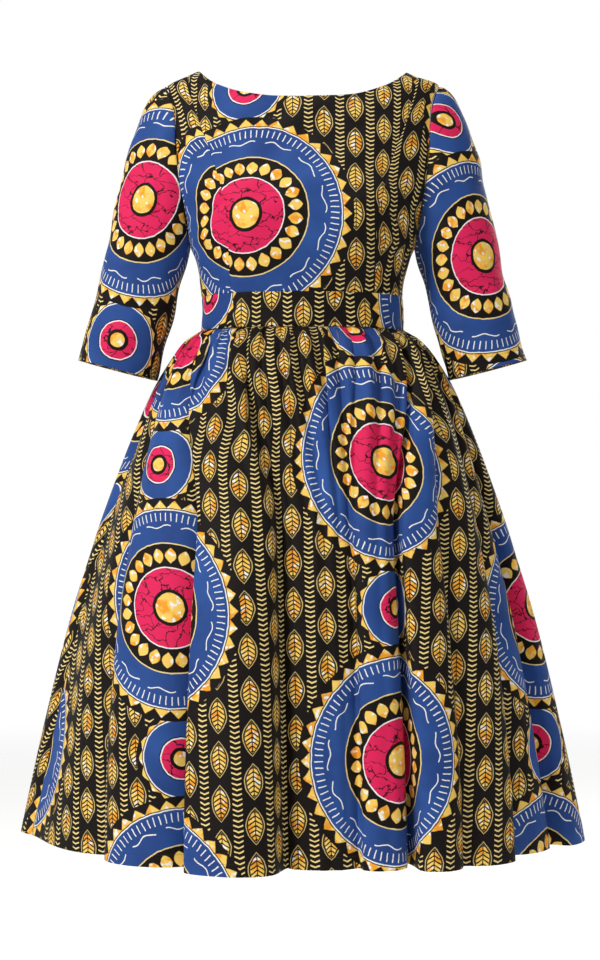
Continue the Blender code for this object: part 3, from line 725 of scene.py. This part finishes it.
def billow(points):
    """The cloth's slight unevenness all over."""
    x, y, height = np.moveaxis(points / MM, -1, 0)
    waves = [far * np.sin(FULL_TURN * (x / a + y / b + height / c) + shift)
             for a, b, c, shift, far in WAVES]
    return sum(waves)


def edge_shape(run, kinds):
    """How far out the cloth lies near its edges: turned in at a seam, doubled at a free edge."""
    rise = np.zeros_like(run["across"])
    for edge, kind in kinds.items():
        away = run[edge] / MM
        if kind in TURNS_IN:
            rise -= TURNS_IN[kind]["deep"] * np.exp(-((away / TURNS_IN[kind]["wide"]) ** 2))
        else:
            behind = (away - HEM_TURN["wide"]) / HEM_TURN["soft"]
            rise += HEM_TURN["proud"] * (0.5 - 0.5 * np.tanh(behind))
    return rise


def deselect_all():
    for thing in bpy.context.selected_objects:
        thing.select_set(False)


def select_only(made):
    deselect_all()
    made.select_set(True)
    bpy.context.view_layer.objects.active = made


def apply_modifiers(made):
    select_only(made)
    for modifier in list(made.modifiers):
        bpy.ops.object.modifier_apply(modifier=modifier.name)
    made.select_set(False)


def outward_normals(made):
    """Turn every face of a closed piece outwards."""
    select_only(made)
    bpy.ops.object.mode_set(mode="EDIT")
    bpy.ops.mesh.select_all(action="SELECT")
    bpy.ops.mesh.normals_make_consistent(inside=False)
    bpy.ops.object.mode_set(mode="OBJECT")
    made.select_set(False)


def new_piece(name, points, faces, *materials):
    """A piece from its points and faces, in the scene."""
    mesh = bpy.data.meshes.new(name)
    mesh.from_pydata(points.tolist(), [], faces)
    for material in materials:
        mesh.materials.append(material)
    made = bpy.data.objects.new(name, mesh)
    bpy.context.scene.collection.objects.link(made)
    return made


def grid_piece(name, points, materials, side=1, tube=False, cut=None):
    """A sheet over a grid of points; on a tube the last column is the first one again. Cut gives
    each point's place on the flat cloth, for the UV map of that name."""
    rows, columns = points.shape[:2]
    body = points[:, :-1] if tube else points
    wide = body.shape[1]
    row, column = np.meshgrid(np.arange(rows - 1), np.arange(columns - 1), indexing="ij")
    corners = ((0, 0), (0, 1), (1, 1), (1, 0))[::side]
    faces = np.stack([(row + r) * wide + (column + c) % wide for r, c in corners], axis=-1)
    made = new_piece(name, body.reshape(-1, 3), faces.reshape(-1, 4).tolist(), *materials)
    if cut is not None:
        layer = made.data.uv_layers.new(name="cut")
        places = np.stack([cut[row + r, column + c] for r, c in corners], axis=2)
        layer.data.foreach_set("uv", places.ravel())
    return made


def thicken(made, thick, offset, inside=0):
    """Give a sheet its thickness. Inside counts how far on the material of its other face is."""
    wall = made.modifiers.new("wall", "SOLIDIFY")
    wall.thickness = thick * MM
    wall.offset = offset
    wall.material_offset = inside
    apply_modifiers(made)


def cloth(name, points, side=1, centre=0.5, top="seam", foot="seam", tube=False, cut=None):
    """A panel of printed cloth on its solid's outer face, sewn at both sides. Centre says how far
    across it the print is measured from, unless cut gives each point's place on the flat cloth."""
    outward = outward_of(points, side, tube)
    across = run_along(points, 1, 0)
    up = run_along(points, 0, 0)
    away = {"across": across, "start": across, "end": across[:, -1:] - across,
            "foot": up, "top": up[-1:] - up}
    kinds = {"start": "seam", "end": "seam", "foot": foot, "top": top}
    out = edge_shape(away, kinds) - crease_depth(name, points)
    if not name.startswith("skirt"):
        out = out + billow(points)
    points = points + outward * (out * MM)[..., None]
    if cut is None:
        middle = round(centre * (points.shape[1] - 1))
        cut = np.stack((side * run_along(points, 1, middle), run_along(points, 0, 0)), axis=-1)
    cut = cut + np.array(LAYOUT[name]) * CM
    made = grid_piece(name + "_cloth", points, MATERIALS, side, tube, cut)
    made.data.shade_smooth()
    thicken(made, CLOTH_THICK, -1, inside=1)
    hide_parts(name)
    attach(made, "dress")
    return points, outward


def sum_of(operation, turned=False):
    """A way for a wire to add the Math node of a sum, with its values the other way round if turned."""

    def add_node(self, *others):
        values = (self, *others)
        return self.math(operation, *(values[::-1] if turned else values))

    return add_node


class Wire:
    """A socket in a material. Sums on wires add the Math nodes that work them out."""

    def __init__(self, tree, socket=None):
        self.tree = tree
        self.socket = socket

    def feed(self, made, values):
        """Give a node's sockets their values or wires."""
        for name, value in values.items():
            if isinstance(value, Wire):
                self.tree.links.new(value.socket, made.inputs[name])
            else:
                made.inputs[name].default_value = value

    def node(self, kind, settings=None, values=None, output=0):
        """Add a node: its settings are made first, then its sockets get their values or wires."""
        made = self.tree.nodes.new(kind)
        for name, value in (settings or {}).items():
            setattr(made, name, value)
        self.feed(made, values or {})
        return Wire(self.tree, made.outputs[output])

    def math(self, operation, *values, clamp=False):
        settings = {"operation": operation, "use_clamp": clamp}
        return self.node("ShaderNodeMath", settings, dict(enumerate(values)))

    __add__ = __radd__ = sum_of("ADD")
    __sub__ = sum_of("SUBTRACT")
    __rsub__ = sum_of("SUBTRACT", turned=True)
    __mul__ = __rmul__ = sum_of("MULTIPLY")
    __truediv__ = sum_of("DIVIDE")
    __rtruediv__ = sum_of("DIVIDE", turned=True)
    __mod__ = sum_of("FLOORED_MODULO")
    __rmod__ = sum_of("FLOORED_MODULO", turned=True)
    __abs__ = sum_of("ABSOLUTE")
    floor = sum_of("FLOOR")
    root = sum_of("SQRT")
    sine = sum_of("SINE")

    def above(self, edge, soft):
        """1 where this is above the edge and 0 below it, with a soft step between."""
        if isinstance(edge, Wire):
            return self.math("MULTIPLY_ADD", self - edge, 1 / soft, 0.5, clamp=True)
        return self.math("MULTIPLY_ADD", self, 1 / soft, 0.5 - edge / soft, clamp=True)

    def under(self, edge, soft):
        return 1 - self.above(edge, soft)

    def within(self, low, high, soft):
        return self.above(low, soft) * self.under(high, soft)

    def mix(self, first, second, share=None):
        """The first colour where this, or the share given, is 0 and the second where it is 1."""
        settings = {"data_type": "RGBA", "blend_type": "MIX"}
        values = {0: self if share is None else share, 6: first, 7: second}
        return self.node("ShaderNodeMix", settings, values, output=2)

    def vector(self, operation, values=None, output="Vector"):
        settings = {"operation": operation}
        return self.node("ShaderNodeVectorMath", settings, {0: self, **(values or {})}, output)

    def axis(self, number):
        """One of the three values of a place."""
        return self.node("ShaderNodeSeparateXYZ", None, {0: self}, number)

    def noise(self, scale, detail, dimensions="3D", rough=0.5, output=0):
        """Soft patches over the places that this wire gives."""
        values = {"Vector": self, "Scale": scale, "Detail": detail, "Roughness": rough}
        return self.node("ShaderNodeTexNoise", {"noise_dimensions": dimensions}, values, output)

    def bump(self, strength, distance):
        """The bumps of a surface whose height this is."""
        values = {"Strength": strength, "Distance": distance, "Height": self}
        return self.node("ShaderNodeBump", None, values)


def ink(code):
    """A colour from its six-figure code, as the linear values that a shader takes."""
    values = [int(code[i : i + 2], 16) / 255 for i in (0, 2, 4)]
    return (*[v / 12.92 if v <= 0.04045 else ((v + 0.055) / 1.055) ** 2.4 for v in values], 1.0)


BLACK = ink("110A07")
BLUE = ink("2C5296")
DEEP_BLUE = ink("223F7C")
PINK = ink("DE2259")
GOLD = ink("F6CC62")
ORANGE = ink("F09E28")
PALE_GOLD = ink("F0D58C")
WHITE = ink("F2EFEA")

# The print, in centimetres on the flat cloth
PITCH = 40.0  # of the large rounds, which stand in a half drop
LARGE = {"disc": 2.0, "pink": 5.4, "petals": 6.0, "petals_end": 8.2, "blue": 8.9, "blue_end": 13.4,
         "teeth_end": 14.8, "teeth": 40}
SMALL = {"disc": 1.0, "pink": 2.6, "blue": 2.9, "blue_end": 5.0, "teeth_end": 5.8, "teeth": 16}
ROUND = {"line": 0.16, "gap": 0.3, "rim": 0.35}  # white lines, gap before the teeth, black rim
HAIR = {"waves": 22.0, "wave": 0.22, "half_wide": 0.075, "dashes": 13, "dash": 0.72}
RAYS = {"count": 96, "share": 0.17, "start": 1.5, "end": 0.35}  # measured in from the blue's edge
PETALS = {"count": 24, "share": 0.46, "gap": 0.04}
LEAF = {"pitch": 4.4, "tall": 5.6, "half_wide": 1.08, "half_tall": 2.2, "rim": (1.06, 1.14),
        "blade": 0.84, "spine": 0.07, "ribs": 1.7, "rib_slope": 1.15, "rib": 0.36}
CHEVRON = {"half_wide": 0.62, "pitch": 0.66, "thick": 0.2, "slope": 0.42}
WOBBLE = 0.22  # how far the printed edges wander
CRISP = 0.06  # how soft an edge is
THREADS = (0.055, 0.06)  # the weave's pitch across and along
WEAVE_SHARE = 0.05  # how high the weave stands, beside the rumples


def print_colour(flat):
    """The print: large rounds in a half drop and small ones between them, on black with columns of
    gold leaves and chevrons. Each round has a gold disc, a veined pink ring, and a blue ring."""
    wander = flat.noise(0.9, 3.0, "2D", output="Color")
    x = flat.axis(0) + (wander.axis(0) - 0.5) * WOBBLE
    y = flat.axis(1) + (wander.axis(1) - 0.5) * WOBBLE
    inks = {"gold": gold_colour(flat), "pink": pink_colour(flat), "blue": blue_colour(flat)}
    colour = leaf_ground(x, y, inks["gold"])

    column = (x / PITCH + 0.5).floor()
    aside = (x / PITCH + 0.5) % 1.0 * PITCH - PITCH / 2
    level = (y + column % 2.0 * (PITCH / 2) + PITCH / 2) % PITCH - PITCH / 2
    far = PITCH / 2 - abs(level)
    for up, sizes in ((far, SMALL), (level, LARGE)):
        radius = (aside * aside + up * up).root()
        colour = round_motif(radius, radius.math("ARCTAN2", up, aside), colour, inks, sizes)
    return colour


def gold_colour(flat):
    """Gold with orange patches and white bubbles, as the dye takes."""
    colour = flat.noise(0.55, 2.0, "2D").above(0.56, 0.14).mix(GOLD, ORANGE)
    bubble = flat.noise(1.15, 1.0, "2D", rough=0.4)
    return bubble.above(0.665, 0.07).mix(colour, WHITE)


def pink_colour(flat):
    """Pink with thin black veins."""
    bent = flat.noise(0.5, 4.0, "2D", output="Color").vector("SCALE", {3: 3.0})
    place = flat.vector("ADD", {1: bent}).vector("MULTIPLY", {1: (0.28, 0.62, 1.0)})
    settings = {"voronoi_dimensions": "2D", "feature": "DISTANCE_TO_EDGE"}
    vein = place.node("ShaderNodeTexVoronoi", settings, {"Vector": place, "Scale": 1.0})
    return vein.under(0.03, 0.03).mix(PINK, BLACK)


def blue_colour(flat):
    """Blue, a little uneven."""
    return flat.noise(0.12, 4.0, "2D").above(0.5, 0.5).mix(DEEP_BLUE, BLUE)


def leaf_ground(x, y, gold):
    """Columns of gold leaves on black, with a thin column of chevrons between them."""
    pitch = LEAF["pitch"]
    column = (x / pitch).floor()
    aside = abs(x / pitch % 1.0 - 0.5) * pitch
    level = (y + column % 2.0 * (LEAF["tall"] / 2)) % LEAF["tall"] - LEAF["tall"] / 2
    tip = level / LEAF["half_tall"]
    leaf = aside / LEAF["half_wide"] + tip * tip
    colour = leaf.within(*LEAF["rim"], 0.1).mix(BLACK, PALE_GOLD)
    blade = leaf.under(LEAF["blade"], 0.08)
    colour = blade.mix(colour, gold)
    rib = ((level * LEAF["ribs"] + aside * LEAF["rib_slope"]) % 1.0).under(LEAF["rib"], 0.12)
    dark = rib.math("MAXIMUM", rib, aside.under(LEAF["spine"], CRISP)) * blade
    colour = dark.mix(colour, BLACK)
    gap = pitch / 2 - aside
    arm = ((y + aside * CHEVRON["slope"]) % CHEVRON["pitch"]).under(CHEVRON["thick"], CRISP)
    return (arm * gap.under(CHEVRON["half_wide"], CRISP)).mix(colour, PALE_GOLD)


def parts_of(turn, count):
    """How far each place is through its part of a round that is cut into this many."""
    return (turn * (count / FULL_TURN)) % 1.0


def round_motif(radius, turn, colour, inks, sizes):
    """A round with its rings, printed over the colour that is there."""
    line, edge, blue_end = ROUND["line"], sizes["teeth_end"], sizes["blue_end"]
    root = blue_end + ROUND["gap"]
    colour = radius.under(edge + ROUND["rim"], CRISP).mix(colour, BLACK)
    tooth = abs(parts_of(turn, sizes["teeth"]) - 0.5) * 2.0
    rise = (radius - root) / (edge - root)
    pointed = tooth.above(rise, 0.12) * radius.above(root, CRISP) * radius.under(edge, CRISP)
    colour = pointed.mix(colour, inks["gold"])
    colour = radius.under(blue_end + line, CRISP).mix(colour, WHITE)
    colour = radius.under(blue_end, CRISP).mix(colour, inks["blue"])
    if "petals" in sizes:
        colour = large_rings(radius, turn, colour, inks["gold"], sizes)
    else:
        colour = radius.under(sizes["blue"], CRISP).mix(colour, BLACK)
    colour = radius.under(sizes["pink"] + line, CRISP).mix(colour, WHITE)
    colour = radius.under(sizes["pink"], CRISP).mix(colour, inks["pink"])
    colour = radius.under(sizes["disc"] + 3 * line, CRISP).mix(colour, BLACK)
    return radius.under(sizes["disc"], CRISP).mix(colour, inks["gold"])


def large_rings(radius, turn, colour, gold, sizes):
    """What only a large round has: white lines and rays on its blue, and a ring of petals."""
    wave = (turn * HAIR["waves"]).sine() * HAIR["wave"]
    middle = (sizes["blue"] + sizes["blue_end"]) / 2
    hair = abs(radius - wave - middle).under(HAIR["half_wide"], CRISP)
    broken = parts_of(turn, HAIR["dashes"]).under(HAIR["dash"], 0.02)
    ray = parts_of(turn, RAYS["count"]).under(RAYS["share"], 0.1)
    reach = (sizes["blue_end"] - RAYS["start"], sizes["blue_end"] - RAYS["end"])
    rays = ray * radius.within(*reach, CRISP)
    colour = rays.math("MAXIMUM", hair * broken, rays).mix(colour, WHITE)
    colour = radius.under(sizes["blue"], CRISP).mix(colour, PALE_GOLD)
    colour = radius.under(sizes["blue"] - ROUND["line"], CRISP).mix(colour, BLACK)
    half = (sizes["petals_end"] - sizes["petals"]) / 2
    along = (radius - sizes["petals"] - half) / half
    share = abs(parts_of(turn, PETALS["count"]) - 0.5)
    petal = PETALS["share"] - along * along * PETALS["share"]
    return petal.above(share + PETALS["gap"], 0.05).mix(colour, gold)


def new_material(name, looks, *details):
    """A material. Its looks are worked out from a first wire, and say what its shader takes."""
    material = bpy.data.materials.new(name)
    material.use_nodes = True
    start = Wire(material.node_tree)
    start.feed(material.node_tree.nodes["Principled BSDF"], looks(start, *details))
    return material


def printed_cotton(start, paler):
    """The printed cotton. Its back is the same print, a little paler where the dye came through."""
    on_cloth = start.node("ShaderNodeUVMap", {"uv_map": "cut"})
    flat = on_cloth.vector("SCALE", {3: 1 / CM})
    colour = print_colour(flat)
    if paler:
        colour = colour.mix(colour, PALE_GOLD, share=paler)
    across, along = (flat.axis(i) * (FULL_TURN / pitch) for i, pitch in enumerate(THREADS))
    height = across.sine() * along.sine() * WEAVE_SHARE + flat.noise(0.33, 3.0)
    return {
        "Base Color": colour,
        "Roughness": flat.noise(0.8, 3.0) * 0.16 + 0.56,
        "Normal": height.bump(0.35, 0.0016),
        "Specular IOR Level": 0.15,
        "Sheen Weight": 0.03,
        "Sheen Roughness": 0.45,
    }


def enamelled_metal(start):
    """Dark blue enamel on metal, scuffed through to the metal in small spots."""
    place = start.node("ShaderNodeTexCoord", output="Object")
    bare = place.noise(900.0, 5.0).above(0.70, 0.05)
    cloudy = place.noise(260.0, 2.0)
    return {
        "Base Color": bare.mix(ink("1A2646"), ink("9A9DA3")),
        "Metallic": bare * 0.7 + 0.3,
        "Roughness": cloudy * 0.2 + 0.2,
        "Normal": cloudy.bump(0.2, 0.0001),
    }


def nylon(start, roughness):
    """Black nylon, with the fine ribs of its weave."""
    place = start.node("ShaderNodeTexCoord", output="Object")
    rib = ((place.axis(2) + place.axis(0)) * (FULL_TURN / 0.0009)).sine()
    dusty = place.noise(300.0, 3.0)
    return {
        "Base Color": dusty.mix(ink("0E0D0F"), ink("2A282B")),
        "Roughness": dusty * 0.15 + roughness,
        "Normal": rib.bump(0.3, 0.0001),
    }


def cotton_thread(start):
    """Black cotton thread with its fine twist."""
    twist = start.node("ShaderNodeTexCoord", output="Object").noise(2500.0, 1.0)
    return {
        "Base Color": twist.mix(ink("0C0A0A"), ink("37302B")),
        "Roughness": twist * 0.3 + 0.5,
        "Normal": twist.bump(0.4, 0.0002),
    }


def floor_paint(start):
    """Pale paint that fades out far from the dress."""
    far = start.node("ShaderNodeTexCoord", output="Object").vector("LENGTH", output="Value")
    return {
        "Base Color": ink("F7F6F4"),
        "Roughness": 0.9,
        "Specular IOR Level": 0.1,
        "Emission Color": (1, 1, 1, 1),
        "Emission Strength": FLOOR["glow"],
        "Alpha": far.under(FLOOR["fades"], FLOOR["fades"]),
    }


# The printed cotton's face and its inside
MATERIALS = (
    new_material("printed cotton", printed_cotton, 0.0),
    new_material("printed cotton inside", printed_cotton, 0.12),
)


def grid_between(across, up, steps, near=NEAR):
    """Places across and up a panel, closer together at its edges."""
    return np.meshgrid(spread(*across, steps[0], NEAR), spread(*up, steps[1], near))


def build_cloth():
    """All panels of the dress. Returns their points and outward directions by name."""
    sheets = {}
    u, v = grid_between((-1, 1), (0, 1), STEPS["centre"])
    sheets["bodice_front_centre"] = cloth("bodice_front_centre", centre_front_at(u, v), top="fold")
    for word, side in SIDES:
        name = f"bodice_side_front_{word}"
        u, v = grid_between((0, 1), (0, 1), STEPS["side"])
        sheets[name] = cloth(name, side_front_at(side, u, v), side)
        name = f"bodice_back_{word}"
        u, v = grid_between((0, 1), (0, 1), STEPS["back"])
        sheets[name] = cloth(name, back_at(side, u, v), side, centre=1, top="fold")
        name = f"sleeve_{word}"
        sheets[name] = sleeve_cloth(name, side)
    for name, first, last, centre in (
        ("waistband_front", -90, 90, 0.5),
        ("waistband_back_left", 90, 180, 1),
        ("waistband_back_right", -180, -90, 0),
    ):
        steps = ((last - first) // 90 * WAISTBAND_STEPS[0], WAISTBAND_STEPS[1])
        u, v = grid_between((first, last), (0, 1), steps, NEAR_ON_BAND)
        sheets[name] = cloth(name, waistband_at(u, v), centre=centre)
    hem_rows = 1 + np.array(HEM_ROWS) / (HEM - WAIST)
    rows = np.linspace(0, 1, SKIRT_ROWS["count"]) ** SKIRT_ROWS["power"]
    down = np.unique(np.concatenate((rows, SKIRT_ROWS["first"], hem_rows)))
    for name, first, last, steps, centre in (
        ("skirt_back_right", 0, RIGHT_SIDE_ROLL, SKIRT_STEPS, 0),
        ("skirt_front", RIGHT_SIDE_ROLL, LEFT_SIDE_ROLL, 2 * SKIRT_STEPS, 0.5),
        ("skirt_back_left", LEFT_SIDE_ROLL, len(ROLLS), SKIRT_STEPS, 1),
    ):
        points = skirt_grid(skirt_places(first, last, steps), down)[::-1]
        sheets[name] = cloth(name, points, centre=centre, foot="hem")
    return sheets


def sleeve_cloth(name, side):
    """A sleeve, with its seam under the arm."""
    across, up = STEPS["sleeve"]
    hem_rows = 1 - np.array(HEM_ROWS) / SLEEVE_END
    rows = np.unique(np.concatenate((spread(0, 1, up, NEAR), hem_rows)))
    u, v = np.meshgrid(spread(180, 540, across, NEAR), rows)
    points = sleeve_at(side, u % 360, v)[::-1]
    from_cuff = points / MM - CUFF_CENTRE * np.array((side, 1, 1))
    level = from_cuff @ (-side * SLEEVE_AXIS[0], 0, -SLEEVE_AXIS[2])
    girth = CUFF_GIRTH + SLEEVE_FLARE * level
    cut = np.stack((side * (360 - u) / 360 * girth, level), axis=-1) * MM
    return cloth(name, points, -side, foot="hem", tube=True, cut=cut)


def line_on(sheet, edge, away):
    """Points and outward directions of a sheet, this many millimetres from one of its edges."""
    points, outward = sheet
    if edge in ("start", "end"):
        points, outward = points.swapaxes(0, 1), outward.swapaxes(0, 1)
    if edge in ("end", "top"):
        points, outward = points[::-1], outward[::-1]
    run = run_along(points, 0, 0)
    return [
        np.array([[np.interp(away * MM, run[:, i], grid[:, i, axis]) for axis in range(3)]
                  for i in range(points.shape[1])])
        for grid in (points, outward)
    ]


def modelled_once(kind, size, taper=0):
    """A small thing that repeats, modelled once: its corners in millimetres and its faces. A
    grain is round at its ends, and a rod is flat there, with tapered edges."""
    deselect_all()
    if kind == "grain":
        bpy.ops.mesh.primitive_uv_sphere_add(segments=SMALL_SIDES, ring_count=4, radius=0.5)
    else:
        bpy.ops.mesh.primitive_cylinder_add(vertices=SMALL_SIDES, radius=0.5, depth=1)
    made = bpy.context.active_object
    bpy.ops.object.mode_set(mode="EDIT")
    bpy.ops.mesh.select_all(action="SELECT")
    bpy.ops.transform.rotate(value=math.pi / 2, orient_axis="Y", center_override=(0, 0, 0))
    if kind == "rod":
        bpy.ops.mesh.select_all(action="DESELECT")
        bpy.ops.object.mode_set(mode="OBJECT")
        for face in made.data.polygons:
            face.select = abs(face.normal.x) > 0.9
        bpy.ops.object.mode_set(mode="EDIT")
        bpy.ops.mesh.inset(thickness=taper)
        bpy.ops.transform.resize(value=(1 + taper, 1, 1), center_override=(0, 0, 0))
        bpy.ops.mesh.select_all(action="SELECT")
    bpy.ops.transform.resize(value=size, center_override=(0, 0, 0))
    bpy.ops.object.mode_set(mode="OBJECT")
    corners = np.array([corner.co for corner in made.data.vertices])
    faces = [list(face.vertices) for face in made.data.polygons]
    bpy.data.objects.remove(made)
    return corners, faces


def repeated(name, shape, places, axes, material):
    """Copies of a small thing in one piece, each at its place, along its own three axes."""
    corners, faces = shape
    spots = places[:, None] + np.einsum("ki,nij->nkj", corners, axes) * MM
    starts = np.arange(len(places)) * len(corners)
    faces = [[corner + start for corner in face] for start in starts.tolist() for face in faces]
    made = new_piece(name, spots.reshape(-1, 3), faces, material)
    made.data.shade_smooth()
    outward_normals(made)
    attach(made, "dress")
    return made


def unit(vectors):
    return vectors / np.linalg.norm(vectors, axis=1, keepdims=True)


def sew(name, rows, sunk):
    """Rows of stitches as one piece. A row gives its line and the outward directions along it, and
    sunk says how deep the thread lies."""
    places, axes = [], []
    for line, outward in rows:
        run = np.concatenate(((0,), np.cumsum(np.linalg.norm(np.diff(line, axis=0), axis=1)))) / MM
        count = int(run[-1] / STITCH["pitch"])
        at = (np.arange(count) + 0.5) * run[-1] / count
        middle, ahead, out = (
            np.stack([np.interp(at + step, run, grid[:, axis]) for axis in range(3)], axis=1)
            for grid, step in ((line, 0), (line, STITCH["ahead"]), (outward, 0))
        )
        along = unit(ahead - middle)
        out = unit(out - along * (along * out).sum(axis=1, keepdims=True))
        places.append(middle - out * sunk * MM)
        axes.append(np.stack((along, np.cross(out, along), out), axis=1))
    shape = modelled_once("grain", STITCH["size"])
    thread = new_material("black thread", cotton_thread)
    made = repeated(name, shape, np.concatenate(places), np.concatenate(axes), thread)


def build_sewing(sheets):
    """The rows of stitches that hold up the hems, and the seams' own in their grooves."""
    hems = ("skirt_front", "skirt_back_left", "skirt_back_right", "sleeve_left", "sleeve_right")
    sew("hem_stitches", [line_on(sheets[name], "foot", HEM_ROW) for name in hems], 0)
    seams = [("bodice_front_centre", "start end foot"), ("skirt_front", "start end"),
             ("waistband_front", "foot")]
    for word, _ in SIDES:
        seams += [(f"bodice_side_front_{word}", "foot end top"), (f"bodice_back_{word}", "foot start"),
                  (f"waistband_back_{word}", "foot")]
    rows = [line_on(sheets[name], edge, SEAM_ROW) for name, edges in seams for edge in edges.split()]
    sew("seam_stitches", rows, GROOVE)


def centre_back(sheets):
    """Points up the centre back on the cloth's outer face, with their upward and outward
    directions."""
    points = np.concatenate([
        line_on(sheets[name], "end", ZIP["from_edge"])[0]
        for name in ("bodice_back_left", "waistband_back_left", "skirt_back_left")
    ])
    points = points[np.argsort(points[:, 2])]
    heights = np.arange(ZIP["foot"], ZIP["top"] + 0.1, ZIP["pitch"]) * MM
    path = np.stack((0 * heights, np.interp(heights, points[:, 2], points[:, 1]), heights), axis=1)
    up = unit(np.gradient(path, axis=0))
    return path, up, np.cross(up, (1.0, 0, 0))


def build_zip(sheets):
    """The concealed zip behind the centre back: the teeth of its coil and its two tapes."""
    path, up, out = centre_back(sheets)
    axes = np.stack((np.broadcast_to((1.0, 0, 0), up.shape), up, out), axis=1)
    shape = modelled_once("rod", ZIP["tooth"], ZIP["tooth_taper"])
    coil = new_material("zip coil", nylon, 0.42)
    teeth = repeated("zip_teeth", shape, path - out * ZIP["tooth_deep"] * MM, axes, coil)
    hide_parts("zip_coil")

    rows = (path - out * ZIP["tape_deep"] * MM)[:: ZIP["tape_rows"]]
    woven = new_material("zip tape", nylon, 0.8)
    for word, side in SIDES:
        aside = np.linspace(ZIP["tape_gap"], ZIP["tape"], ZIP["tape_steps"]) * side * MM
        points = rows[:, None] + aside[None, :, None] * np.array((1.0, 0, 0))
        made = grid_piece(f"zip_tape_{word}", points, [woven])
        thicken(made, ZIP["tape_thick"], 0)
        outward_normals(made)
        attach(made, "dress")


def finish_pull():
    """The slider and its pull keep their shapes. They get their metal, and the pull its raised rims."""
    metal = new_material("enamelled metal", enamelled_metal)
    for name in ("zip_slider", "zip_pull"):
        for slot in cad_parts[name].material_slots:
            slot.material = metal
    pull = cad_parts["zip_pull"]
    corners = np.array([pull.matrix_world @ corner.co for corner in pull.data.vertices])
    height = corners[:, 2]
    pin = corners[height > height.max() - RIM["pin_end"] * MM].mean(axis=0)
    low = corners[height < height.min() + RIM["free_end"] * MM].mean(axis=0)
    pin[0] = low[0] = 0
    down = (low - pin) / np.linalg.norm(low - pin)
    out = np.cross((1.0, 0, 0), down)
    middle = low - down * (RIM["long"] / 2 + RIM["from_end"]) * MM
    for word, side in (("outer", 1), ("inner", -1)):
        rim = modelled_rim(f"pull_rim_{word}")
        turn = np.column_stack((np.array((side, 0, 0)), down, out * side))
        for corner in rim.data.vertices:
            corner.co = middle + out * side * RIM["face"] * MM + turn @ np.array(corner.co)
        outward_normals(rim)
        rim.data.materials.append(metal)
        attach(rim, "zip_pull")


def modelled_rim(name):
    """A low flat frame with round corners and soft edges, lying at the origin."""
    deselect_all()
    bpy.ops.mesh.primitive_plane_add(size=1)
    rim = bpy.context.active_object
    rim.name = name
    bpy.ops.object.mode_set(mode="EDIT")
    bpy.ops.transform.resize(value=(RIM["wide"] * MM, RIM["long"] * MM, 1))
    bpy.ops.mesh.bevel(offset=RIM["corner"] * MM, segments=4, affect="VERTICES")
    bpy.ops.mesh.inset(thickness=RIM["band"] * MM)
    bpy.ops.mesh.delete(type="FACE")
    bpy.ops.mesh.select_all(action="SELECT")
    bpy.ops.mesh.extrude_region_move(TRANSFORM_OT_translate={"value": (0, 0, RIM["proud"] * MM)})
    bpy.ops.object.mode_set(mode="OBJECT")
    soft = rim.modifiers.new("soft", "BEVEL")
    soft.width = RIM["soft"] * MM
    soft.segments = 2
    apply_modifiers(rim)
    return rim


def pale_floor():
    """A pale plain floor, below the hem where the wearer would stand."""
    deselect_all()
    bpy.ops.mesh.primitive_circle_add(vertices=FLOOR["sides"], radius=FLOOR["radius"],
                                      fill_type="NGON", location=(0, 0, FLOOR["height"]))
    floor = bpy.context.active_object
    floor.name = "floor"
    floor.data.materials.append(new_material("pale floor", floor_paint))


def soft_light():
    """Even studio light from a white room, with large soft lamps in front, above and behind."""
    world = bpy.data.worlds.new("studio")
    bpy.context.scene.world = world
    world.use_nodes = True
    start = Wire(world.node_tree)
    seen = start.node("ShaderNodeLightPath", output="Is Camera Ray")
    strength = seen * (1.0 - ROOM_LIGHT) + ROOM_LIGHT
    background = world.node_tree.nodes["Background"]
    start.feed(background, {"Color": (1, 1, 1, 1), "Strength": strength})
    for name, place, aim, size, power in LAMPS:
        light = bpy.data.lights.new(name, "AREA")
        light.size = size
        light.energy = power
        lamp = bpy.data.objects.new(name, light)
        bpy.context.scene.collection.objects.link(lamp)
        lamp.location = place
        lamp.rotation_euler = (Vector(aim) - Vector(place)).to_track_quat("-Z", "Y").to_euler()


def camera():
    """The photograph's view: straight on, level with the middle of the dress."""
    data = bpy.data.cameras.new("camera")
    data.lens = CAMERA["lens"]
    data.sensor_width = CAMERA["film"]
    thing = bpy.data.objects.new("camera", data)
    bpy.context.scene.collection.objects.link(thing)
    thing.location = CAMERA["place"]
    thing.rotation_euler = (math.pi / 2, 0, 0)
    bpy.context.scene.camera = thing


sheets = build_cloth()
build_sewing(sheets)
build_zip(sheets)
finish_pull()
pale_floor()
soft_light()
camera()
bpy.context.scene.view_settings.view_transform = "Standard"
